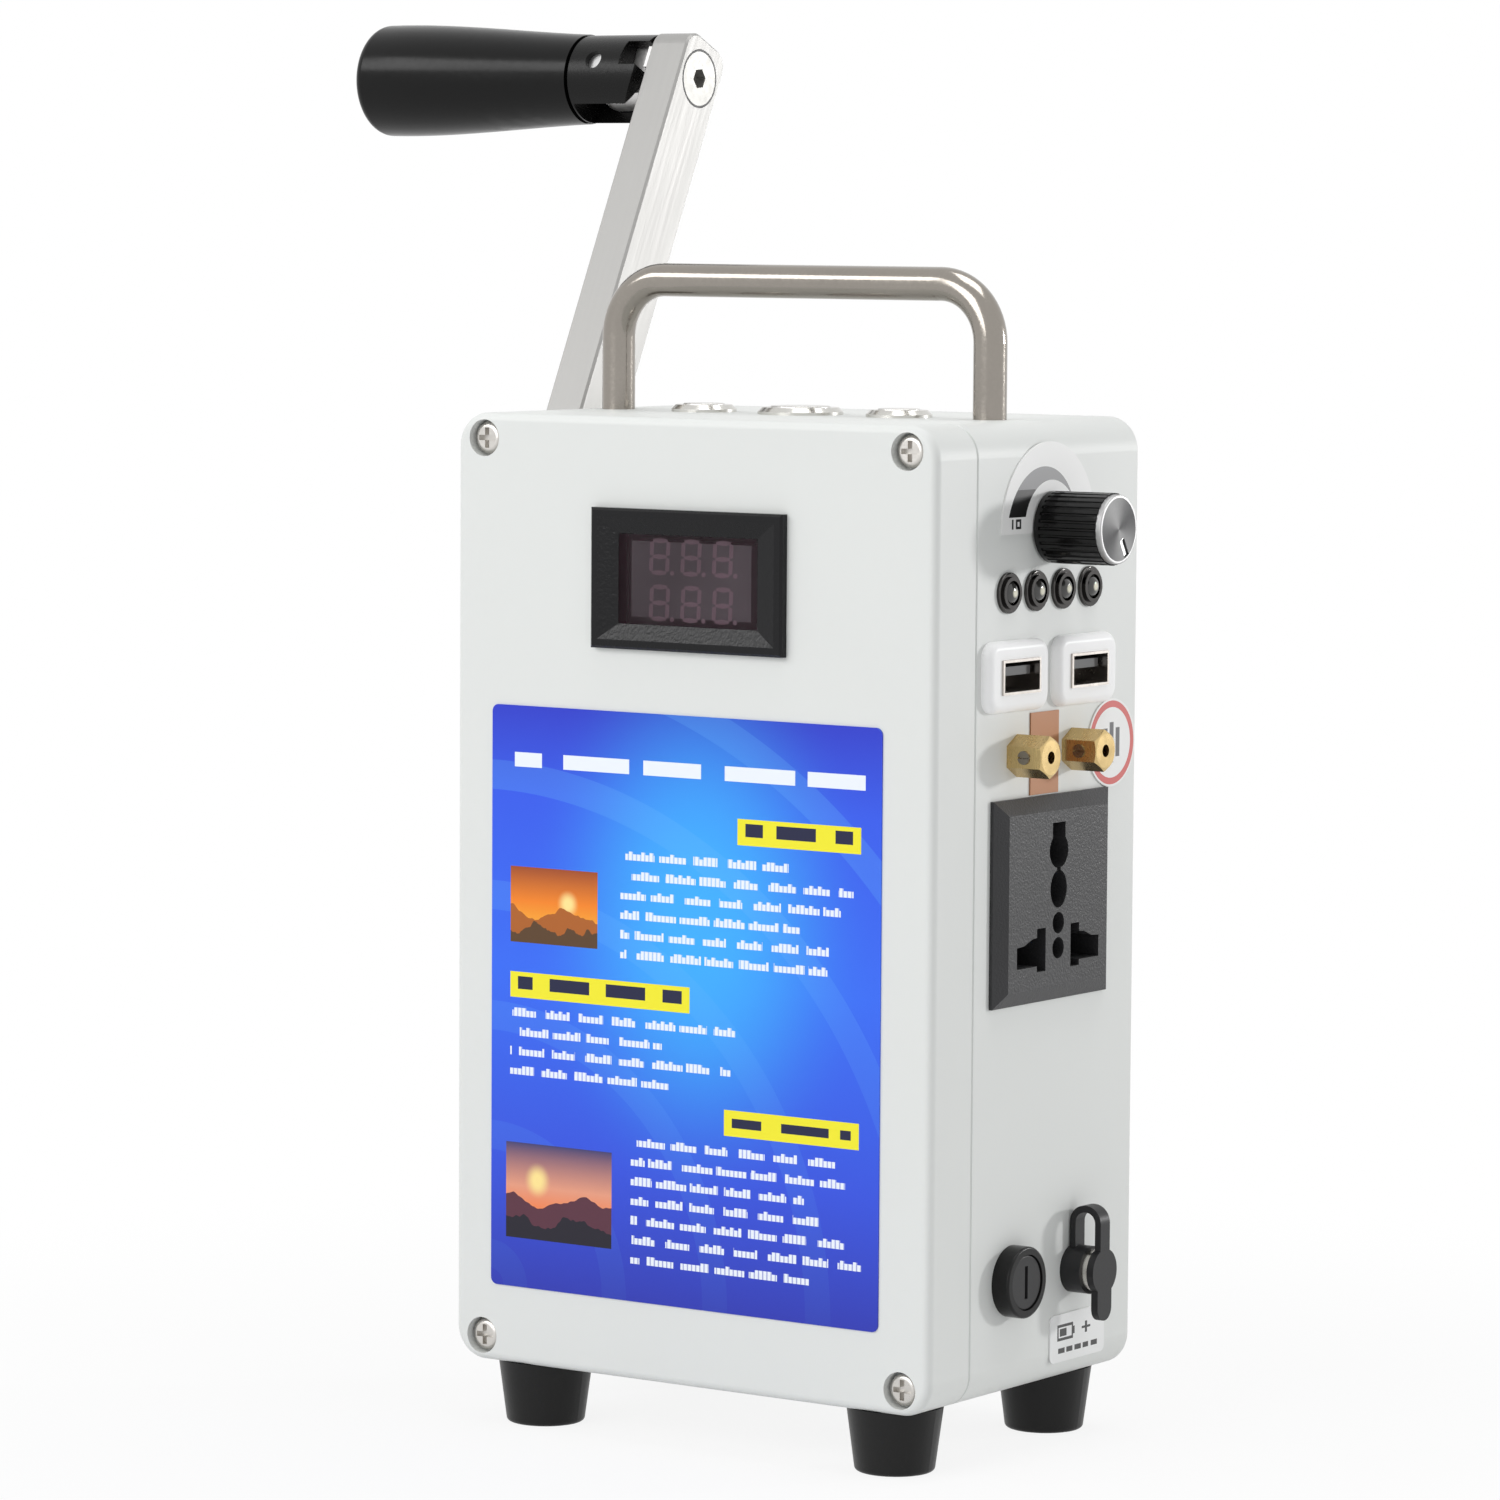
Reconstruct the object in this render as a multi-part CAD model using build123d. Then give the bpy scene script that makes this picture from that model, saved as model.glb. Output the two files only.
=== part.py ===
"""Hand crank generator in a screw-fronted instrument box, with a folding crank on its left side.

Millimetres. +Z is up, the front face looks towards -Y, and the socket side is +X.
The origin is on the floor, under the middle of the box.
"""

from build123d import *
import math
import os

# Enclosure: a shallow front cover on a deep rear housing
BOX_W = 120.0
BOX_H = 200.0
COVER_D = 15.0
HOUSING_D = 62.0
CORNER_R = 7.0
FRONT_EDGE_R = 1.8
REAR_EDGE_R = 0.8
WALL = 2.8
FACE_WALL = 2.6
SEAM_CHAMFER = 0.35
SEAL_W = 1.0
SEAL_DEPTH = 1.2
SEAL_INSET = 0.9
SEAL_GAP = 0.1

# Fits
SEAT_GAP = 0.02
RUN_GAP = 0.06
HOLE_GAP = 0.1
FREE_GAP = 0.35

# Rubber feet and the screws that hold them, and the gear case too
FOOT_H = 13.5
FOOT_TOP_R = 10.0
FOOT_BOTTOM_R = 8.2
FOOT_LEFT_INSET = 16.2
FOOT_RIGHT_INSET = 15.0
FOOT_FRONT_INSET = 10.5
FOOT_REAR_INSET = 9.5
FOOT_POCKET_R = 5.0
FOOT_POCKET_H = 8.0
M3_R = 1.5
M3_HEAD_R = 2.9
M3_HEAD_H = 1.7
M3_LENGTH = 10.0
M3_BOSS_R = 3.6

# Cover screws
COVER_SCREW_R = 2.0
COVER_SCREW_HEAD_R = 3.4
COVER_SCREW_HEAD_H = 2.4
COVER_SCREW_INSET_X = 7.1
COVER_SCREW_INSET_Z = 5.25
RECESS_R = 3.85
RECESS_DEPTH = 3.4
COVER_BOSS_R = 5.2
POST_R = 4.6
POST_LENGTH = 18.0
POST_BITE = 14.0

# Front label
LABEL_SIDE_MARGIN = 11.0
LABEL_FOOT_MARGIN = 16.6
LABEL_X = -1.3
LABEL_METER_GAP = 13.1
LABEL_R = 1.5
STICKER_T = 0.3

# Panel meter
METER_W = 48.0
METER_H = 29.0
METER_DROP = 33.2
METER_PROUD = 2.0
METER_BEVEL = 1.2
METER_BODY_W = 44.8
METER_BODY_H = 25.8
METER_BODY_DEPTH = 17.0
METER_WALL = 1.4
METER_LATCH = 1.2
METER_LATCH_H = 8.0
WINDOW_W = 34.8
WINDOW_H = 18.6
WINDOW_T = 1.2
WINDOW_SUNK = 1.1
WINDOW_LEDGE = 1.0
DIGIT_BLOCK_W = 30.0
DIGIT_BLOCK_H = 15.6
DIGIT_BLOCK_T = 7.0
BOARD_T = 1.6

# Carry handle: a bent bar
HANDLE_BAR_R = 3.5
HANDLE_INSET = 13.0
HANDLE_RISE = 31.1
HANDLE_BEND_R = 12.0
TOP_ROW_Y = 1.0
HANDLE_SCREW_R = 2.0
HANDLE_SCREW_BITE = 11.0
HANDLE_SCREW_HEAD_R = 3.5
HANDLE_SCREW_HEAD_H = 2.6
WASHER_R = 4.5
WASHER_T = 1.0

# Push buttons: centre, bezel radius, barrel radius, cap radius
BUTTON_PITCH = 24.7
SMALL_BEZEL_R = 6.9
SMALL_BARREL_R = 5.9
SMALL_CAP_R = 4.4
LARGE_BEZEL_R = 9.0
LARGE_BARREL_R = 7.9
LARGE_CAP_R = 6.3
BEZEL_H = 1.5
BEZEL_BEVEL = 0.9
BARREL_DEPTH = 20.0
CAP_H = 7.0
CAP_PROUD = 0.3
BUTTON_TRAVEL = 1.4
NUT_T = 2.4
NUT_RIM = 1.9

# Knob and potentiometer
KNOB_FORWARD = 3.5
KNOB_DROP = 21.6
KNOB_R = 7.4
KNOB_BODY_L = 14.6
KNOB_CAP_R = 7.1
KNOB_CAP_T = 1.2
KNOB_REST = 30.0
KNOB_GROOVES = 30
KNOB_GROOVE_R = 0.35
KNOB_HOLLOW_R = 6.4
KNOB_HOLLOW_DEPTH = 3.0
POT_SHAFT_R = 3.0
POT_SHAFT_BITE = 9.0
POT_BUSH_R = 3.6
POT_BUSH_L = 2.4
POT_NUT_FLATS = 10.0
POT_NUT_T = 2.0
POT_BODY_R = 8.2
POT_BODY_L = 10.0
DIAL_R = 17.8
DIAL_FORWARD = 0.95
DIAL_LOWER = 0.3
DIAL_DROP = 1.0

# Row of four indicator lamps
LED_BELOW_KNOB = 12.8
LED_FIRST_FORWARD = 19.4
LED_PITCH = 10.3
LED_FLANGE_R = 4.2
LED_FLANGE_T = 0.8
LED_COLLAR_R = 3.3
LED_COLLAR_T = 0.6
LED_BARREL_R = 3.3
LED_BARREL_L = 8.0
LED_R = 2.5
LED_DOME_OUT = 0.5

# Two charging sockets
USB_LED_GAP = 5.4
USB_FORWARD = 4.6
USB_PITCH = 26.2
USB_BEZEL_W = 22.8
USB_BEZEL_H = 14.6
USB_BEZEL_T = 2.3
USB_BEZEL_R = 3.4
USB_BEZEL_EDGE_R = 1.7
USB_SHELL_W = 14.2
USB_SHELL_H = 7.1
USB_SHELL_WALL = 0.55
USB_SHELL_L = 19.0
USB_SHELL_PROUD = 0.4
USB_BACK_T = 5.0
USB_TONGUE_W = 11.2
USB_TONGUE_T = 1.8
USB_TONGUE_SHORT = 1.8
USB_TONGUE_SPACE = 1.0

# Brass terminals and the copper strip between them
TERMINAL_USB_GAP = 5.3
TERMINAL_FORWARD = 4.9
TERMINAL_PITCH = 21.0
TERMINAL_FLATS = 7.6
TERMINAL_L = 8.3
TERMINAL_BEVEL = 0.5
TERMINAL_BORE_R = 1.3
TERMINAL_BORE_DEPTH = 6.8
STUD_R = 2.0
STUD_L = 12.0
STUD_NUT_FLATS = 7.0
STUD_NUT_T = 3.2
GRUB_R = 1.4
GRUB_PROUD = 0.3
STRIP_W = 10.7
STRIP_FORWARD = 5.2
STRIP_USB_GAP = 0.7
STRIP_SOCKET_GAP = 0.3

# Round sticker behind the rear terminal
RING_REAR_MARGIN = 1.0
RING_RAISE = 0.3
RING_R = 9.2

# Universal mains socket
SOCKET_FORWARD = 3.1
SOCKET_TERMINAL_GAP = 5.0
SOCKET_W = 44.0
SOCKET_H = 42.4
SOCKET_RIM_T = 0.8
SOCKET_FACE_T = 2.7
SOCKET_FACE_INSET = 3.1
SOCKET_BODY_INSET = 3.2
SOCKET_DEPTH = 24.0
SOCKET_PIN_DEPTH = 16.0

# Fuse holder
FUSE_FORWARD = 15.55
FUSE_UP = 24.3
FUSE_FLANGE_R = 7.4
FUSE_FLANGE_T = 4.0
FUSE_BARREL_R = 6.0
FUSE_BARREL_L = 30.0
FUSE_NUT_FLATS = 16.0
FUSE_NUT_T = 3.0
FUSE_CAP_R = 5.7
FUSE_CAP_T = 3.4
FUSE_CAP_SUNK = 0.3
FUSE_SLOT_W = 1.1
FUSE_SLOT_L = 6.8
FUSE_R = 2.6
FUSE_L = 20.0
FUSE_FERRULE_L = 5.0

# Direct current jack with a tethered rubber cap
JACK_BACK = 8.2
JACK_UP = 23.8
JACK_RIM_R = 4.3
JACK_RIM_L = 6.3
JACK_BARREL_R = 3.9
JACK_BARREL_L = 12.0
JACK_NUT_FLATS = 11.0
JACK_NUT_T = 2.0
JACK_BORE_R = 2.8
JACK_BORE_DEPTH = 10.0
JACK_PIN_R = 1.0
RUBBER_RING_R = 5.0
RUBBER_RING_L = 4.7
CAP_DISC_R = 4.7
CAP_DISC_T = 1.6
CAP_PLUG_L = 3.5
CAP_TAB_W = 5.4
CAP_TAB_L = 7.6
STRAP_W = 3.6
STRAP_T = 1.4
STRAP_RISE = 13.6
STRAP_SPREAD = 3.6

# Port label
PORT_LABEL_BACK = 9.9
PORT_LABEL_UP = 9.7
PORT_LABEL_W = 21.2
PORT_LABEL_H = 10.0
PORT_LABEL_R = 1.4

# Crank arm, leaning back from upright as the photograph shows it
CRANK_ROOM_SHARE = 0.3755
CRANK_LEAN = 25.9
CRANK_L = 127.0
ARM_GAP = 5.0
ARM_T = 9.6
ARM_W = 15.5
ARM_TOP_L = 8.8
ARM_TOP_R = 4.0
ARM_EDGE = 0.5
SHAFT_R = 4.0
SHAFT_SQUARE = 6.6
SHAFT_COLLAR_R = 7.0
SHAFT_TAIL_R = 3.0
SHAFT_TAIL_L = 3.4
HUB_SCREW_R = 2.2
HUB_SCREW_L = 9.0
HUB_HEAD_R = 6.0
HUB_HEAD_T = 3.2
BUSH_R = 6.5
BUSH_FLANGE_R = 9.0
BUSH_FLANGE_T = 1.5
THRUST_GAP = 0.3

# Folding, revolving grip
PIN_OUT = 13.1
PIN_R = 2.0
PIN_SUNK = 1.4
GRIP_BOLT_R = 3.0
GRIP_BOLT_HEAD_R = 6.4
GRIP_BOLT_HEAD_H = 3.4
GRIP_BOLT_BITE = 7.0
GRIP_BOLT_SOCKET = 4.0
GRIP_BOLT_SOCKET_DEPTH = 2.4
TONGUE_W = 9.0
TONGUE_R = 5.7
KEY_W = 5.0
KEY_T = 1.0
KEY_OFFSET = 2.0
FERRULE_R = 9.75
FERRULE_L = 19.7
FERRULE_SIDE_GAP = 0.3
FERRULE_SLOT_CLEAR = 0.3
FERRULE_EDGE = 0.5
FERRULE_NOTCH_L = 5.6
FERRULE_NOTCH_W = 6.4
SPINDLE_R = 4.0
SPINDLE_L = 48.0
SPINDLE_END_GAP = 0.5
GRIP_NECK_R = 10.0
GRIP_WAIST_R = 10.7
GRIP_END_R = 12.5
GRIP_L = 58.0
GRIP_END_ROUND = 2.5
GRIP_GAP = 0.3

# Gear train: drive gear, compound idler, rotor pinion
DRIVE_MODULE = 0.8
DRIVE_TEETH = 60
DRIVE_PINION_TEETH = 15
SECOND_MODULE = 0.6
SECOND_TEETH = 56
ROTOR_TEETH = 14
TOOTH_FULLNESS = 0.84
ADDENDUM = 0.85
DEDENDUM = 1.2
FLANK_ANGLE = 20.0
GEAR_T = 4.6
PINION_EXTRA = 0.4
GEAR_GAP = 0.8
IDLER_SHAFT_R = 2.0
CASE_T = 2.5
CASE_WALL = 2.2
CASE_CLEAR = 1.0
CASE_FLANGE_W = 46.0
CASE_FLANGE_MARGIN = 2.0
CASE_FLANGE_R = 6.0
CASE_SCREW_INSET = 4.5
CASE_BOSS_H = 4.5

# Generator
CAN_R = 17.5
CAN_L = 34.0
CAN_WALL = 1.5
CAN_END_T = 2.0
ROTOR_SHAFT_R = 1.5
ROTOR_R = 13.0
ROTOR_L = 24.0

# Battery
CELL_R = 9.2
CELL_L = 65.0
CELL_PITCH = 19.0
CELL_COLUMNS = 3
CELL_ROWS = 2
TRAY_POST_GAP = 0.8
TRAY_T = 4.0
TRAY_POCKET = 2.5
TRAY_END_T = 2.0
LINK_W = 7.0
LINK_T = 0.3

# Circuit boards on the rear wall
STANDOFF_L = 5.0
STANDOFF_R = 3.2
BOARD_SCREW_R = 1.3
BOARD_SCREW_BITE = 4.0
BOARD_HEAD_R = 2.5
BOARD_HEAD_H = 1.8
BOARD_HOLE_INSET = 4.0
BOARD_SIDE_GAP = 5.2
BOARD_GAP = 6.0
INVERTER_W = 68.0
INVERTER_H = 94.0
CHARGER_W = 44.0
CHARGER_H = 40.0
CHARGER_LOW = 34.0
TRANSFORMER_W = 28.0
TRANSFORMER_H = 26.0
TRANSFORMER_T = 19.0
TRANSFORMER_INSET = 15.0
TRANSFORMER_RAISE = 64.0
TRANSFORMER_YOKE = 5.0
COIL_INSET = 0.2
CAPACITOR_R = 6.0
CAPACITOR_L = 15.0
CAPACITOR_GAP = 1.0
HEATSINK_INSET = 8.0
HEATSINK_RAISE = 20.0
HEATSINK_W = 34.0
HEATSINK_T = 8.0
HEATSINK_H = 16.0
COIL_BLOCK_INSET = 12.0
COIL_BLOCK_W = 14.0
COIL_BLOCK_T = 7.0
PLUG_INSET = 30.0
PLUG_W = 6.0
PLUG_T = 2.0
PLUG_H = 8.0

# Derived levels
BOX_D = COVER_D + HOUSING_D
FRONT_Y = -BOX_D / 2
SEAM_Y = FRONT_Y + COVER_D
REAR_Y = BOX_D / 2
BOX_BOTTOM = FOOT_H
BOX_TOP = BOX_BOTTOM + BOX_H
BOX_MID = BOX_BOTTOM + BOX_H / 2
SIDE_X = BOX_W / 2
INNER_X = SIDE_X - WALL
FLOOR_Z = BOX_BOTTOM + WALL
CEILING_Z = BOX_TOP - WALL
SIDE_MID_Y = (SEAM_Y + REAR_Y) / 2
FOOT_LEFT_X = FOOT_LEFT_INSET - SIDE_X
FOOT_RIGHT_X = SIDE_X - FOOT_RIGHT_INSET
FOOT_FRONT_Y = FRONT_Y + FOOT_FRONT_INSET
FOOT_REAR_Y = REAR_Y - FOOT_REAR_INSET
HANDLE_SPAN = BOX_W - 2 * HANDLE_INSET
METER_UP = BOX_H - METER_DROP
LABEL_W = BOX_W - 2 * LABEL_SIDE_MARGIN
LABEL_H = METER_UP - METER_H / 2 - LABEL_METER_GAP - LABEL_FOOT_MARGIN
LABEL_UP = LABEL_FOOT_MARGIN + LABEL_H / 2
KNOB_Y = SIDE_MID_Y - KNOB_FORWARD
KNOB_UP = BOX_H - KNOB_DROP
LED_FIRST_Y = SIDE_MID_Y - LED_FIRST_FORWARD
LED_UP = KNOB_UP - LED_BELOW_KNOB
USB_MID_Y = SIDE_MID_Y - USB_FORWARD
USB_UP = LED_UP - LED_FLANGE_R - USB_LED_GAP - USB_BEZEL_H / 2
TERMINAL_MID_Y = SIDE_MID_Y - TERMINAL_FORWARD
TERMINAL_UP = USB_UP - USB_BEZEL_H / 2 - TERMINAL_USB_GAP - TERMINAL_FLATS / 2
SOCKET_Y = SIDE_MID_Y - SOCKET_FORWARD
SOCKET_UP = TERMINAL_UP - TERMINAL_FLATS / 2 - SOCKET_TERMINAL_GAP - SOCKET_H / 2
STRIP_MID_Y = SIDE_MID_Y - STRIP_FORWARD
STRIP_TOP_UP = USB_UP - USB_BEZEL_H / 2 - STRIP_USB_GAP
STRIP_BOTTOM_UP = SOCKET_UP + SOCKET_H / 2 + STRIP_SOCKET_GAP
RING_Y = REAR_Y - RING_R - RING_REAR_MARGIN
RING_UP = TERMINAL_UP + RING_RAISE
FUSE_Y = SIDE_MID_Y - FUSE_FORWARD
JACK_Y = SIDE_MID_Y + JACK_BACK
PORT_LABEL_Y = SIDE_MID_Y + PORT_LABEL_BACK
ARM_IN_X = -SIDE_X - ARM_GAP
ARM_OUT_X = ARM_IN_X - ARM_T
PIN_X = ARM_OUT_X - PIN_OUT
FERRULE_END_X = ARM_OUT_X - FREE_GAP - FERRULE_L
SPINDLE_END_X = FERRULE_END_X - SPINDLE_L
GRIP_START_X = FERRULE_END_X - GRIP_GAP
CASE_IN_X = -INNER_X + CASE_T
DRIVE_X = CASE_IN_X + GEAR_GAP
SECOND_X = DRIVE_X + GEAR_T + GEAR_GAP
PLATE_X = SECOND_X + GEAR_T + GEAR_GAP
CAN_X = PLATE_X + CASE_T
DRIVE_TIP_R = DRIVE_MODULE * (DRIVE_TEETH / 2 + ADDENDUM)
CASE_TOP_R = DRIVE_TIP_R + CASE_CLEAR + CASE_WALL
CASE_LOW_R = CAN_R + CASE_WALL + CASE_CLEAR
DRIVE_CENTRES = DRIVE_MODULE * (DRIVE_TEETH + DRIVE_PINION_TEETH) / 2
SECOND_CENTRES = SECOND_MODULE * (SECOND_TEETH + ROTOR_TEETH) / 2

# The crank shaft shares out the height left over between the cells' frame and the handle's screws
TRAY_H = 2 * (TRAY_T - TRAY_POCKET) + CELL_L
CASE_ROOF_UP = BOX_H - WALL - WASHER_T - HANDLE_SCREW_HEAD_H
CASE_SPAN = CASE_TOP_R + DRIVE_CENTRES + SECOND_CENTRES + CASE_LOW_R
CASE_ROOM = CASE_ROOF_UP - WALL - TRAY_H - CASE_SPAN
CRANK_UP = CASE_ROOF_UP - CASE_ROOM * CRANK_ROOM_SHARE - CASE_TOP_R
SHAFT_Z = BOX_BOTTOM + CRANK_UP
IDLER_Z = SHAFT_Z - DRIVE_CENTRES
ROTOR_Z = IDLER_Z - SECOND_CENTRES

CELL_FIRST_X = -SIDE_X + COVER_SCREW_INSET_X + POST_R + TRAY_POST_GAP + TRAY_END_T / 2 + CELL_PITCH / 2
BOARD_BACK_Y = REAR_Y - WALL - STANDOFF_L
BOARD_RIGHT_X = INNER_X - BOARD_SIDE_GAP
INVERTER_LOW = CHARGER_LOW + CHARGER_H + BOARD_GAP
INVERTER_X = (BOARD_RIGHT_X - INVERTER_W, BOARD_RIGHT_X)
INVERTER_UP = (INVERTER_LOW, INVERTER_LOW + INVERTER_H)
CHARGER_X = (BOARD_RIGHT_X - CHARGER_W, BOARD_RIGHT_X)
CHARGER_UP = (CHARGER_LOW, CHARGER_LOW + CHARGER_H)
TRANSFORMER_X = INVERTER_X[0] + TRANSFORMER_INSET
TRANSFORMER_UP = INVERTER_LOW + TRANSFORMER_RAISE
CELL_ROW_Y = CELL_PITCH / 2


def block(x0, x1, y0, y1, z0, z1):
    """A box between two opposite corners."""
    return Pos((x0 + x1) / 2, (y0 + y1) / 2, (z0 + z1) / 2) * Box(abs(x1 - x0), abs(y1 - y0), abs(z1 - z0))


def rod_x(radius, x0, x1, y, z):
    """A round rod along X."""
    return Pos((x0 + x1) / 2, y, z) * Rot(0, 90, 0) * Cylinder(radius, abs(x1 - x0))


def rod_y(radius, y0, y1, x, z):
    """A round rod along Y."""
    return Pos(x, (y0 + y1) / 2, z) * Rot(90, 0, 0) * Cylinder(radius, abs(y1 - y0))


def rod_z(radius, z0, z1, x, y):
    """A round rod along Z."""
    return Pos(x, y, (z0 + z1) / 2) * Cylinder(radius, abs(z1 - z0))


def plate_y(width, height, radius, y0, y1, x, z):
    """A slab with rounded corners, facing -Y."""
    slab = extrude(RectangleRounded(width, height, radius), abs(y1 - y0) / 2, both=True)
    return Pos(x, (y0 + y1) / 2, z) * Rot(90, 0, 0) * slab


def plate_x(width, height, radius, x0, x1, y, z):
    """A slab with rounded corners, facing +X."""
    slab = extrude(Plane.YZ * RectangleRounded(width, height, radius), abs(x1 - x0) / 2, both=True)
    return Pos((x0 + x1) / 2, y, z) * slab


def hexagon(flats):
    """A hexagon with one corner up, given its width across the flats."""
    return Rot(0, 0, 30) * RegularPolygon(flats / 2, 6, major_radius=False)


def hex_x(flats, x0, x1, y, z):
    """A hexagonal bar along X, with flats facing -Y and +Y."""
    bar = extrude(Plane.YZ * hexagon(flats), abs(x1 - x0) / 2, both=True)
    return Pos((x0 + x1) / 2, y, z) * bar


def hex_z(flats, z0, z1, x, y):
    """A hexagonal bar along Z."""
    return Pos(x, y, (z0 + z1) / 2) * extrude(hexagon(flats), abs(z1 - z0) / 2, both=True)


def sink(radius, head_radius, depth, tip, direction):
    """A countersunk screw's head, from its face at tip into the material along direction."""
    cone = Cone(head_radius, radius, depth, align=(Align.CENTER, Align.CENTER, Align.MIN))
    return Plane(origin=tip, z_dir=direction) * cone


def save(name, *solids):
    """Writes one named piece, or a set of like pieces, to its own file."""
    shape = solids[0] if len(solids) == 1 else Compound(children=list(solids))
    export_step(shape, f"parts/{name}.step")


def cover_screw_points():
    """Where the four cover screws sit on the front face."""
    dx = BOX_W / 2 - COVER_SCREW_INSET_X
    dz = BOX_H / 2 - COVER_SCREW_INSET_Z
    return [(x, BOX_MID + z) for x in (-dx, dx) for z in (-dz, dz)]


def foot_points():
    """Where the four feet stand."""
    return [(x, y) for x in (FOOT_LEFT_X, FOOT_RIGHT_X) for y in (FOOT_FRONT_Y, FOOT_REAR_Y)]


def foot_bosses(y_side):
    """The bosses for the feet's screws, in front (-1) or behind (1)."""
    points = [(x, y) for x, y in foot_points() if y * y_side > 0]
    return [rod_z(M3_BOSS_R, FLOOR_Z, FLOOR_Z + M3_LENGTH / 2, x, y) for x, y in points]


def foot_pilots(y_side):
    """The pilot holes for those screws."""
    points = [(x, y) for x, y in foot_points() if y * y_side > 0]
    return [rod_z(M3_R + SEAT_GAP, BOX_BOTTOM, FLOOR_Z + M3_LENGTH / 2, x, y) for x, y in points]


def case_screw_points():
    """Where the gear case is screwed to the left wall."""
    dy = CASE_FLANGE_W / 2 - CASE_SCREW_INSET
    low = case_bottom() + CASE_SCREW_INSET
    high = case_top() - CASE_SCREW_INSET
    return [(y, z) for y in (-dy, dy) for z in (low, high)]


def case_top():
    """The top of the gear case's flange."""
    return SHAFT_Z + CASE_TOP_R + CASE_FLANGE_MARGIN


def case_bottom():
    """The bottom of the gear case's flange."""
    return ROTOR_Z - CASE_LOW_R - CASE_FLANGE_MARGIN


def button_specs():
    """Centre, bezel radius, barrel radius and cap radius of each push button."""
    small = (SMALL_BEZEL_R, SMALL_BARREL_R, SMALL_CAP_R)
    large = (LARGE_BEZEL_R, LARGE_BARREL_R, LARGE_CAP_R)
    return {"left": (-BUTTON_PITCH, *small), "middle": (0.0, *large), "right": (BUTTON_PITCH, *small)}


def usb_centres():
    """Middle of each charging socket along Y, front one first."""
    return [USB_MID_Y - USB_PITCH / 2, USB_MID_Y + USB_PITCH / 2]


def terminal_centres():
    """Middle of each terminal along Y, front one first."""
    return [TERMINAL_MID_Y - TERMINAL_PITCH / 2, TERMINAL_MID_Y + TERMINAL_PITCH / 2]


def led_centres():
    """Middle of each indicator lamp along Y."""
    return [LED_FIRST_Y + i * LED_PITCH for i in range(4)]


def board_holes(x_range, up_range):
    """The four screw holes of a circuit board on the rear wall."""
    xs = (x_range[0] + BOARD_HOLE_INSET, x_range[1] - BOARD_HOLE_INSET)
    ups = (up_range[0] + BOARD_HOLE_INSET, up_range[1] - BOARD_HOLE_INSET)
    return [(x, BOX_BOTTOM + up) for x in xs for up in ups]


def board_points():
    """All the board screws."""
    return board_holes(INVERTER_X, INVERTER_UP) + board_holes(CHARGER_X, CHARGER_UP)


# ---------------------------------------------------------------- enclosure


def make_cover():
    """The front shell, with screw recesses and the opening for the meter."""
    shell = plate_y(BOX_W, BOX_H, CORNER_R, FRONT_Y, SEAM_Y, 0, BOX_MID)
    shell = fillet(shell.edges().group_by(Axis.Y)[0], FRONT_EDGE_R)
    shell = chamfer(shell.edges().group_by(Axis.Y)[-1], SEAM_CHAMFER)
    inside = plate_y(
        BOX_W - 2 * WALL, BOX_H - 2 * WALL, CORNER_R - WALL, FRONT_Y + FACE_WALL, SEAM_Y, 0, BOX_MID
    )
    bosses = [rod_y(COVER_BOSS_R, FRONT_Y, SEAM_Y, x, z) & shell for x, z in cover_screw_points()]
    body = (shell - inside) + bosses + foot_bosses(-1) - foot_pilots(-1)
    for x, z in cover_screw_points():
        body -= rod_y(RECESS_R, FRONT_Y, FRONT_Y + RECESS_DEPTH, x, z)
        body -= rod_y(COVER_SCREW_R + HOLE_GAP, FRONT_Y, SEAM_Y, x, z)
    opening_w = METER_BODY_W + 2 * HOLE_GAP
    opening_h = METER_BODY_H + 2 * HOLE_GAP
    x = opening_w / 2
    z = BOX_BOTTOM + METER_UP
    body -= block(-x, x, FRONT_Y, SEAM_Y, z - opening_h / 2, z + opening_h / 2)
    return body


def housing_side_holes():
    """Everything that passes through the socket side of the housing."""
    x0, x1 = INNER_X - POT_BODY_L, SIDE_X
    knob_z = BOX_BOTTOM + KNOB_UP
    holes = [rod_x(POT_BUSH_R + HOLE_GAP, x0, x1, KNOB_Y, knob_z)]
    for y in led_centres():
        holes.append(rod_x(LED_BARREL_R + HOLE_GAP, x0, x1, y, BOX_BOTTOM + LED_UP))
    for y in usb_centres():
        w, h = USB_SHELL_W + 2 * HOLE_GAP, USB_SHELL_H + 2 * HOLE_GAP
        z = BOX_BOTTOM + USB_UP
        holes.append(block(x0, x1, y - w / 2, y + w / 2, z - h / 2, z + h / 2))
    for y in terminal_centres():
        holes.append(rod_x(STUD_R + HOLE_GAP, x0, x1, y, BOX_BOTTOM + TERMINAL_UP))
    w = SOCKET_W - 2 * SOCKET_BODY_INSET + 2 * HOLE_GAP
    h = SOCKET_H - 2 * SOCKET_BODY_INSET + 2 * HOLE_GAP
    z = BOX_BOTTOM + SOCKET_UP
    holes.append(block(x0, x1, SOCKET_Y - w / 2, SOCKET_Y + w / 2, z - h / 2, z + h / 2))
    holes.append(rod_x(FUSE_BARREL_R + HOLE_GAP, x0, x1, FUSE_Y, BOX_BOTTOM + FUSE_UP))
    holes.append(rod_x(JACK_BARREL_R + HOLE_GAP, x0, x1, JACK_Y, BOX_BOTTOM + JACK_UP))
    return holes


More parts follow.
